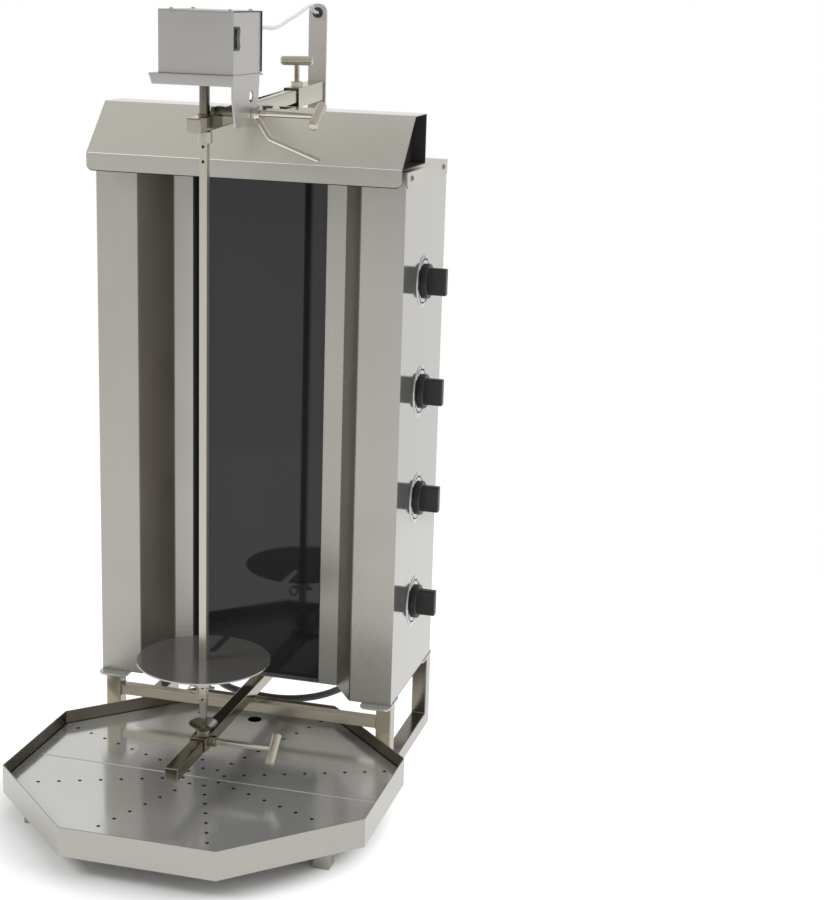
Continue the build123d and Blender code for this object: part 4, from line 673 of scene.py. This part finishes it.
# painted shade on the tray's inner walls
repaint("drip_tray", steel["trayInnerShade"], onTrayWall)
repaint("drip_tray", finish["shade"], lambda n, c: n.z > square and c.z < faceLimits["trayFloor"])
# painted highlight on the hood's flat top, painted shade on its front flange
repaint("hood", steel["coverTop"], lambda n, c: n.z > square)
repaint("hood", steel["coverFlangeShade"], lambda n, c: n.y < -frontSquare and c.y < faceLimits["flangeFront"])
for node in foldedTops:
    repaint(node, finish["shade"], lambda n, c: abs(n.z) < upright and c.z > faceLimits["strainerTop"])
# painted highlight along the hood's fold
repaint("hood", steel["foldHighlight"], onHoodFold)
repaint("hood", steel["shadedSteel"], underHood)
repaint("side_panel_right", steel["sideSteel"], lambda n, c: n.x > square and c.x > faceLimits["panelSide"])
repaint("side_panel_left", steel["sideSteel"], lambda n, c: n.x < -square and c.x < -faceLimits["panelSide"])
print("eased pieces", len(eased))

# painted shade: a dark strip standing for the shaded gap where the lid overlaps the case's right side
lidShadeStrip = {"side": 0.0530, "out": 0.0016, "thick": 0.0012, "front": -0.1745, "rear": -0.0772, "low": 0.9835,
             "top": 1.0568, "bevel": 0.0003}


def lidStrip(look):
    x0, x1, d = look["side"], look["side"] + look["out"], look["thick"]
    bm = bmesh.new()
    blocks = [((x0, look["rear"] - d, look["low"]), (x1, look["rear"], look["top"])),
              ((x0, look["front"], look["top"] - d), (x0 + d, look["rear"] - d, look["top"]))]
    for low, high in blocks:
        for v in bmesh.ops.create_cube(bm, size=1.0)["verts"]:
            v.co = Vector([a + (c + 0.5) * (b - a) for a, b, c in zip(low, high, v.co)])
    bmesh.ops.bevel(bm, geom=bm.edges[:], offset=look["bevel"], segments=2, affect="EDGES", profile=0.5)
    trimPiece(bm, "lidShadeStrip", "arm", finish["shade"])


lidStrip(lidShadeStrip)

# clamp screws: bright rods with satin cross bars
clampScrews = {"sleeve_handle": 2, "clamp_handle": 0, "collar_handle": 0}  # axis that the rod follows
crossBarDepth = 0.0134


def clampScrew(node, axis):
    mesh = mergedCopy(node, pieceName(node))
    obj = linkObject(pieceName(node), mesh)
    smoothByAngle(mesh, smoothUnder["rod"])
    finishPiece(obj, bodyOfNode[node], finish["handle"], [node])
    mesh.materials.append(finish["satin"])
    far = max(v.co[axis] for v in mesh.vertices)
    for face in mesh.polygons:
        face.material_index = 1 if face.center[axis] > far - crossBarDepth else 0


for node, axis in clampScrews.items():
    clampScrew(node, axis)
print("clamp screws done")


# geometry nodes: trees with named inputs, realized and painted at their end
def newTree(name, **inputs):
    tree = bpy.data.node_groups.new(name, "GeometryNodeTree")
    tree.interface.new_socket("Geometry", in_out="INPUT", socket_type="NodeSocketGeometry")
    for key, kind in {**inputs, "Material": "Material"}.items():
        tree.interface.new_socket(key, in_out="INPUT", socket_type="NodeSocket" + kind)
    tree.interface.new_socket("Geometry", in_out="OUTPUT", socket_type="NodeSocketGeometry")
    return tree, addNode(tree, "NodeGroupInput"), addNode(tree, "NodeGroupOutput")


def closeTree(tree, shape, start, end):
    real = addNode(tree, "GeometryNodeRealizeInstances")
    paint = addNode(tree, "GeometryNodeSetMaterial")
    tree.links.new(shape, real.inputs["Geometry"])
    tree.links.new(real.outputs[0], paint.inputs["Geometry"])
    tree.links.new(start.outputs["Material"], paint.inputs["Material"])
    tree.links.new(paint.outputs[0], end.inputs[0])
    return tree


def moved(tree, shape, **inputs):
    node = addNode(tree, "GeometryNodeTransform")
    tree.links.new(shape, node.inputs["Geometry"])
    for key, value in inputs.items():
        tree.links.new(value, node.inputs[key])
    return node.outputs[0]


# copies of a shape on points, each turned as told
def copiesOn(tree, points, shape, rotation, scale=None):
    node = addNode(tree, "GeometryNodeInstanceOnPoints")
    tree.links.new(points, node.inputs["Points"])
    tree.links.new(shape, node.inputs["Instance"])
    tree.links.new(rotation, node.inputs["Rotation"])
    if scale is not None:
        tree.links.new(scale, node.inputs["Scale"])
    return node.outputs[0]


# rotation that turns one axis of a copy towards a direction
def turnTowards(tree, direction, axis="Z"):
    node = addNode(tree, "FunctionNodeAlignRotationToVector", axis=axis)
    tree.links.new(direction, node.inputs["Vector"])
    return node.outputs["Rotation"]


def facingOf(tree):
    node = addNode(tree, "GeometryNodeInputNamedAttribute", {"Name": "facing"}, data_type="FLOAT_VECTOR")
    return node.outputs["Attribute"]


# vector of three outputs; None stands for zero
def vectorOf(tree, *values):
    node = addNode(tree, "ShaderNodeCombineXYZ")
    for socket, value in zip(node.inputs, values):
        if value is not None:
            tree.links.new(value, socket)
    return node.outputs[0]


# unit ball that a scale turns into a head or a bead
def unitBall(tree, segments, rings):
    ball = addNode(tree, "GeometryNodeMeshUVSphere", {"Segments": segments, "Rings": rings, "Radius": 1.0})
    return ball.outputs["Mesh"]


# domed heads with a crossed slot, whose length is a multiple of the head's radius
screwShape = {"segments": 24, "rings": 12, "slotReach": 1.15}


def screwTree(shape):
    sizes = {"Head Radius": "Float", "Head Height": "Float", "Slot Width": "Float"}
    tree, start, end = newTree("panScrews", **sizes)
    link = tree.links.new
    radius, height, width = (start.outputs[k] for k in sizes)
    dome = unitBall(tree, shape["segments"], shape["rings"])
    head = moved(tree, dome, Scale=vectorOf(tree, radius, radius, height))
    reach = addValues(tree, radius, shape["slotReach"], "MULTIPLY")
    cutter = addNode(tree, "GeometryNodeMeshBoolean", operation="DIFFERENCE")
    link(head, cutter.inputs["Mesh 1"])
    for size in (vectorOf(tree, reach, width, height), vectorOf(tree, width, reach, height)):
        slot = addNode(tree, "GeometryNodeMeshCube")
        link(size, slot.inputs["Size"])
        raised = moved(tree, slot.outputs["Mesh"], Translation=vectorOf(tree, None, None, height))
        link(raised, cutter.inputs["Mesh 2"])
    turn = turnTowards(tree, facingOf(tree))
    copies = copiesOn(tree, start.outputs["Geometry"], cutter.outputs["Mesh"], turn)
    return closeTree(tree, copies, start, end)


# blocks set round a ring: the dial marks
def ringTree():
    arcSizes = {"Radius": "Float", "Start Angle": "Float", "Sweep Angle": "Float"}
    tree, start, end = newTree("blocksRound", Count="Int", **arcSizes, Block="Vector")
    link = tree.links.new
    arc = addNode(tree, "GeometryNodeCurveArc")
    link(start.outputs["Count"], arc.inputs["Resolution"])
    for key in arcSizes:
        link(start.outputs[key], arc.inputs[key])
    block = addNode(tree, "GeometryNodeMeshCube")
    link(start.outputs["Block"], block.inputs["Size"])
    outwards = turnTowards(tree, addNode(tree, "GeometryNodeInputPosition").outputs[0], "X")
    ring = copiesOn(tree, arc.outputs["Curve"], block.outputs["Mesh"], outwards)
    copies = copiesOn(tree, start.outputs["Geometry"], ring, turnTowards(tree, facingOf(tree)))
    return closeTree(tree, copies, start, end)


# flat beads along edges: welds and screw threads
beadShape = {"segments": 20, "rings": 8}


def beadTree(shape):
    tree, start, end = newTree("beadsAlong", Spacing="Float", Bead="Vector", Least="Float", Most="Float",
                               Seed="Int")
    link = tree.links.new
    line = addNode(tree, "GeometryNodeMeshToCurve")
    link(start.outputs["Geometry"], line.inputs["Mesh"])
    spots = addNode(tree, "GeometryNodeCurveToPoints", mode="LENGTH")
    link(line.outputs[0], spots.inputs["Curve"])
    link(start.outputs["Spacing"], spots.inputs["Length"])
    bead = moved(tree, unitBall(tree, shape["segments"], shape["rings"]), Scale=start.outputs["Bead"])
    chance = addNode(tree, "FunctionNodeRandomValue", data_type="FLOAT")
    least, most = [s for s in chance.inputs if s.type == "VALUE"][:2]
    link(start.outputs["Least"], least)
    link(start.outputs["Most"], most)
    link(start.outputs["Seed"], chance.inputs["Seed"])
    size = next(s for s in chance.outputs if s.type == "VALUE")
    copies = copiesOn(tree, spots.outputs["Points"], bead, turnTowards(tree, spots.outputs["Tangent"]), size)
    return closeTree(tree, copies, start, end)


trees = {"screws": screwTree(screwShape), "ring": ringTree(), "beads": beadTree(beadShape)}


def spotMesh(name, spots):
    mesh = meshFrom(name, [place for place, facing in spots])
    layer = mesh.attributes.new("facing", "FLOAT_VECTOR", "POINT")
    for item, (place, facing) in zip(layer.data, spots):
        item.vector = facing
    return mesh


# each path is a list of points; the edges follow it
def pathMesh(name, paths):
    verts, edges = [], []
    for path in paths:
        edges += [(len(verts) + i, len(verts) + i + 1) for i in range(len(path) - 1)]
        verts += path
    return meshFrom(name, verts, (), edges)


def growPiece(name, mesh, tree, values, body, material, replaced=(), angle=smoothUnder["trim"]):
    obj = linkObject(name, mesh)
    maker = obj.modifiers.new("make", "NODES")
    maker.node_group = tree
    given = {**values, "Material": material}
    for item in tree.interface.items_tree:
        if item.in_out == "INPUT" and item.name in given:
            maker[item.identifier] = given[item.name]
    bakeShape(obj)
    for layer in [a for a in obj.data.attributes if a.name == "facing"]:
        obj.data.attributes.remove(layer)
    smoothByAngle(obj.data, angle)
    return finishPiece(obj, body, material, replaced)


panScrews = {
    "coverScrews": {
        "body": "base", "finish": "thread", "replaced": ["cover_screws"],
        "radius": 0.004, "height": 0.0024, "slot": 0.0011,
        "spots": [((side * 0.2182, y, 0.8492), (side, 0, 0)) for side in (-1, 1) for y in (0.049, 0.221)],
    },
    "rearScrews": {
        "body": "base", "finish": "handle", "replaced": [],
        "radius": 0.004, "height": 0.0022, "slot": 0.0011,
        "spots": [((x, 0.2462, z), (0, 1, 0)) for x in (-0.206, 0.206) for z in (0.135, 0.37, 0.605, 0.842)],
    },
    "lidScrews": {
        "body": "arm", "finish": "handle", "replaced": [],
        "radius": 0.0032, "height": 0.002, "slot": 0.0009,
        "spots": [((x, y, 1.057), (0, 0, 1)) for x in (-0.0314, 0.0436) for y in (-0.1615, -0.0905)],
    },
}
for name, look in panScrews.items():
    growPiece(name, spotMesh(name, look["spots"]), trees["screws"],
              {"Head Radius": look["radius"], "Head Height": look["height"], "Slot Width": look["slot"]},
              look["body"], finish[look["finish"]], look["replaced"])

# dial axes on the right side
dials = {"y": 0.133, "low": 0.239, "step": 0.1543, "count": 4}
dialHeights = [dials["low"] + k * dials["step"] for k in range(dials["count"])]

# chrome rings behind the knobs; the profile gives distances from the axis and heights over the panel
dialRings = {
    "profile": [(0.0366, 0.0), (0.0364, 0.0006), (0.0358, 0.001), (0.0292, 0.001), (0.028, 0.0016),
                (0.0268, 0.0017), (0.0262, 0.001), (0.026, 0.0)],
    "face": 0.217, "sides": 72,
}


def addRings(look):
    bm = bmesh.new()
    turns = [2 * pi * i / look["sides"] for i in range(look["sides"])]
    for z in dialHeights:
        loops = [[bm.verts.new((look["face"] + h, dials["y"] + r * cos(t), z + r * sin(t))) for t in turns]
                 for r, h in look["profile"]]
        for a, b in zip(loops, loops[1:] + loops[:1]):
            bridgeLoops(bm, a, b)
    bmesh.ops.recalc_face_normals(bm, faces=bm.faces)
    trimPiece(bm, "dialRings", "base", finish["chrome"])


addRings(dialRings)

dialMarks = {"count": 11, "radius": 0.0325, "start": radians(30), "sweep": radians(300),
             "block": (0.0042, 0.001, 0.00024), "face": 0.218}
dialSpots = [((dialMarks["face"], dials["y"], z), (1, 0, 0)) for z in dialHeights]
dialValues = {"Count": dialMarks["count"], "Radius": dialMarks["radius"], "Start Angle": dialMarks["start"],
              "Sweep Angle": dialMarks["sweep"], "Block": dialMarks["block"]}
growPiece("dialMarks", spotMesh("dialMarks", dialSpots), trees["ring"], dialValues,
          "base", finish["ink"])
print("dial marks and screws done")


# beads on lines of points, from a settings dictionary
def growBeads(name, paths, look, body, material):
    values = {"Spacing": look["spacing"], "Bead": look["bead"], "Least": look["least"], "Most": look["most"],
              "Seed": look["seed"]}
    growPiece(name, pathMesh(name, paths), trees["beads"], values, body, material,
              angle=smoothUnder["bead"])


threadBeads = {"spacing": 0.0011, "bead": (0.0042, 0.0042, 0.0004), "least": 1.0, "most": 1.0, "seed": 1}
threads = {
    "clampThread": {"path": [(0.0675, -0.116, 0.9355), (0.0745, -0.116, 0.9355)], "body": "clamp_screw"},
    "collarThread": {"path": [(0.0225, -0.127, 0.1015), (0.0325, -0.127, 0.1015)], "body": "collar_screw"},
}
for name, look in threads.items():
    growBeads(name, [look["path"]], threadBeads, look["body"], finish["thread"])

# welds round the crossbars' ends, beside the slide rail on them, and across the floor rails at the posts
weldBeads = {
    "spacing": 0.0016, "bead": (0.0013, 0.0013, 0.0011), "least": 0.8, "most": 1.1, "seed": 4,
    "barFronts": (0.0365, 0.2415), "barDepth": 0.015, "barLow": 0.0775, "barTop": 0.0925, "barEnd": 0.1933,
    "railSides": (-0.0112, 0.0072),
    "postSeams": (0.055, 0.238), "seamFrom": 0.195, "seamTo": 0.214, "seamHeight": 0.022,
}


def weldPaths(look):
    bars = [(y, y + look["barDepth"]) for y in look["barFronts"]]
    low, top, seam = look["barLow"], look["barTop"], look["seamHeight"]
    ends = [[(x, y0, low), (x, y1, low), (x, y1, top), (x, y0, top), (x, y0, low)]
            for x in (-look["barEnd"], look["barEnd"]) for y0, y1 in bars]
    rail = [[(x, y0, top), (x, y1, top)] for x in look["railSides"] for y0, y1 in bars]
    posts = [[(side * look["seamFrom"], y, seam), (side * look["seamTo"], y, seam)]
             for side in (-1, 1) for y in look["postSeams"]]
    return ends + rail + posts


growBeads("weldBeads", weldPaths(weldBeads), weldBeads, "base", finish["weld"])
print("threads and welds done")


# smooth cord along control points
cordShape = {"order": 3, "stepsAlong": 8, "stepsAround": 5}


def cordCurve(name, points, thick):
    data = bpy.data.curves.new(name, "CURVE")
    data.dimensions = "3D"
    line = data.splines.new("NURBS")
    line.points.add(len(points) - 1)
    for point, place in zip(line.points, points):
        point.co = (*place, 1)
    line.order_u = cordShape["order"]
    line.use_endpoint_u = True
    data.resolution_u = cordShape["stepsAlong"]
    data.bevel_depth = thick / 2
    data.bevel_resolution = cordShape["stepsAround"]
    data.use_fill_caps = True
    return linkObject(name, data)


# mains cable: from the gland to the floor, a coil of half turns in two layers, then the run to the plug,
# whose points count from the coil's end
mainsCord = {
    "thick": 0.011,
    "start": [
        (-0.165, 0.2702, 0.161), (-0.165, 0.3102, 0.161), (-0.165, 0.351, 0.131), (-0.165, 0.3665, 0.083),
        (-0.163, 0.351, 0.035), (-0.152, 0.310, 0.0055), (-0.120, 0.277, 0.0055), (-0.070, 0.261, 0.0055),
        (-0.013, 0.259, 0.0055), (0.032, 0.287, 0.0055), (0.058, 0.337, 0.0055), (0.072, 0.381, 0.0055),
        (0.072, 0.414, 0.0062),
    ],
    "coilX": 0.072, "coilY": 0.425, "coilZ": 0.0065, "lift": 0.0116, "turnPoints": 8,
    "halfTurns": [0.055, 0.0492, 0.0434, 0.0376, 0.0434, 0.0492, 0.055], "climb": 3,
    "end": [(0, -0.011, 0), (0, -0.053, 0), (-0.032, -0.085, -0.007), (-0.078, -0.085, -0.010),
            (-0.110, -0.053, -0.003), (-0.110, -0.011, 0.0019), (-0.110, -0.004, 0.0019)],
    "length": 1.865,
}


def mainsPoints(look):
    points = list(look["start"])
    x, y, z = look["coilX"], look["coilY"], look["coilZ"]
    count = look["turnPoints"]
    for k, r in enumerate(look["halfTurns"]):
        side = 1 if k % 2 == 0 else -1
        rise = look["lift"] if k == look["climb"] else 0
        middle = x - side * r
        reach = side * r / cos(pi / 2 / count)
        for i in range(count):
            share = (i + 0.5) / count
            points.append((middle + reach * cos(pi * share), y + reach * sin(pi * share), z + rise * share))
        x, z = x - side * 2 * r, z + rise
    return points + [(x + a, y + b, z + c) for a, b, c in look["end"]]


# tie round one side of the coil
coilTie = {"left": -0.0557, "right": -0.0203, "low": 0.0009, "high": 0.0239, "thick": 0.0008,
           "from": 0.4205, "to": 0.4295, "corner": 0.004, "cornerSteps": 6}


def tieLoop(look, grow):
    inset, steps = look["corner"], look["cornerSteps"]
    left, right = look["left"] + inset, look["right"] - inset
    low, high = look["low"] + inset, look["high"] - inset
    spots = []
    for x, z, first in ((right, high, 0), (left, high, 90), (left, low, 180), (right, low, 270)):
        turns = [radians(first + 90 / steps * i) for i in range(steps + 1)]
        spots += [(x + (inset + grow) * cos(t), z + (inset + grow) * sin(t)) for t in turns]
    return spots


def addTie(look):
    bm = bmesh.new()
    edges = ((look["from"], 0), (look["from"], look["thick"]), (look["to"], look["thick"]), (look["to"], 0))
    rings = [[bm.verts.new((x, y, z)) for x, z in tieLoop(look, grow)] for y, grow in edges]
    for a, b in zip(rings, rings[1:] + rings[:1]):
        bridgeLoops(bm, a, b)
    bmesh.ops.recalc_face_normals(bm, faces=bm.faces)
    return trimPiece(bm, "coilTie", "base", finish["plastic"])


tiePiece = addTie(coilTie)
mainsLine = mainsPoints(mainsCord)
mainsPiece = cordCurve("mainsCord", mainsLine, mainsCord["thick"])
finishPiece(mainsPiece, "base", finish["mains"], ["mains_cable", "mains_coil", "plug_lead"])
print("mains cord", len(mainsLine), "points")

# motor lead: twisted, so its outline is wide and flat by turns; the slack is taken up between two points
motorLead = {
    "thick": 0.005, "wide": 0.0055, "flat": 0.22, "pitch": 0.036, "sides": 16,
    "points": [
        (0.045, -0.071, 1.0365), (0.045, -0.039, 1.0365), (0.0415, 0.003, 1.034), (0.0355, 0.049, 1.0375),
        (0.030, 0.099, 1.044), (0.024, 0.153, 1.050), (0.017, 0.207, 1.057), (0.008, 0.263, 1.0625),
        (-0.002, 0.303, 1.0505), (-0.002, 0.343, 1.0505), (-0.002, 0.357, 1.034), (-0.001, 0.359, 1.0075),
        (-0.003, 0.358, 0.9655), (-0.001, 0.357, 0.9205), (0.008, 0.356, 0.8785), (0.019, 0.3555, 0.8455),
        (0.028, 0.354, 0.8155), (0.028, 0.3435, 0.805), (0.028, 0.330, 0.805),
    ],
    "length": 0.6877,
    "slackFrom": (0, 0.285, 1.05), "slackTo": (0.045, -0.060, 1.04),
}


# mesh tube along a spline, with the points that it follows
def twistedTube(name, look):
    guide = cordCurve(name + "Guide", look["points"], 0)
    path = [v.co.copy() for v in evaluatedMesh(guide).vertices]
    bpy.data.objects.remove(guide)
    bm = bmesh.new()
    rings = []
    across = Vector((1, 0, 0))
    gone = 0.0
    turns = [2 * pi * s / look["sides"] for s in range(look["sides"])]
    for i, here in enumerate(path):
        before, after = path[max(i - 1, 0)], path[min(i + 1, len(path) - 1)]
        along = (after - before).normalized()
        across = (across - along * across.dot(along)).normalized()
        up = along.cross(across)
        gone += (here - before).length
        ring = []
        for turn in turns:
            reach = look["wide"] / 2 * (1 - look["flat"] * sin(turn - 2 * pi * gone / look["pitch"]) ** 2)
            ring.append(bm.verts.new(here + reach * (cos(turn) * across + sin(turn) * up)))
        rings.append(ring)
    for a, b in zip(rings, rings[1:]):
        bridgeLoops(bm, a, b)
    bm.faces.new(rings[0][::-1])
    bm.faces.new(rings[-1])
    bmesh.ops.recalc_face_normals(bm, faces=bm.faces)
    return linkObject(name, closeMesh(bm, name, smoothUnder["cord"])), path


leadPiece, leadPath = twistedTube("motorLead", motorLead)
leadPiece.data.materials.append(finish["lead"])
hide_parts("motor_lead")
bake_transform(leadPiece, "base", "arm", motorLead["slackFrom"], motorLead["slackTo"])
print("motor lead", len(leadPath), "points")
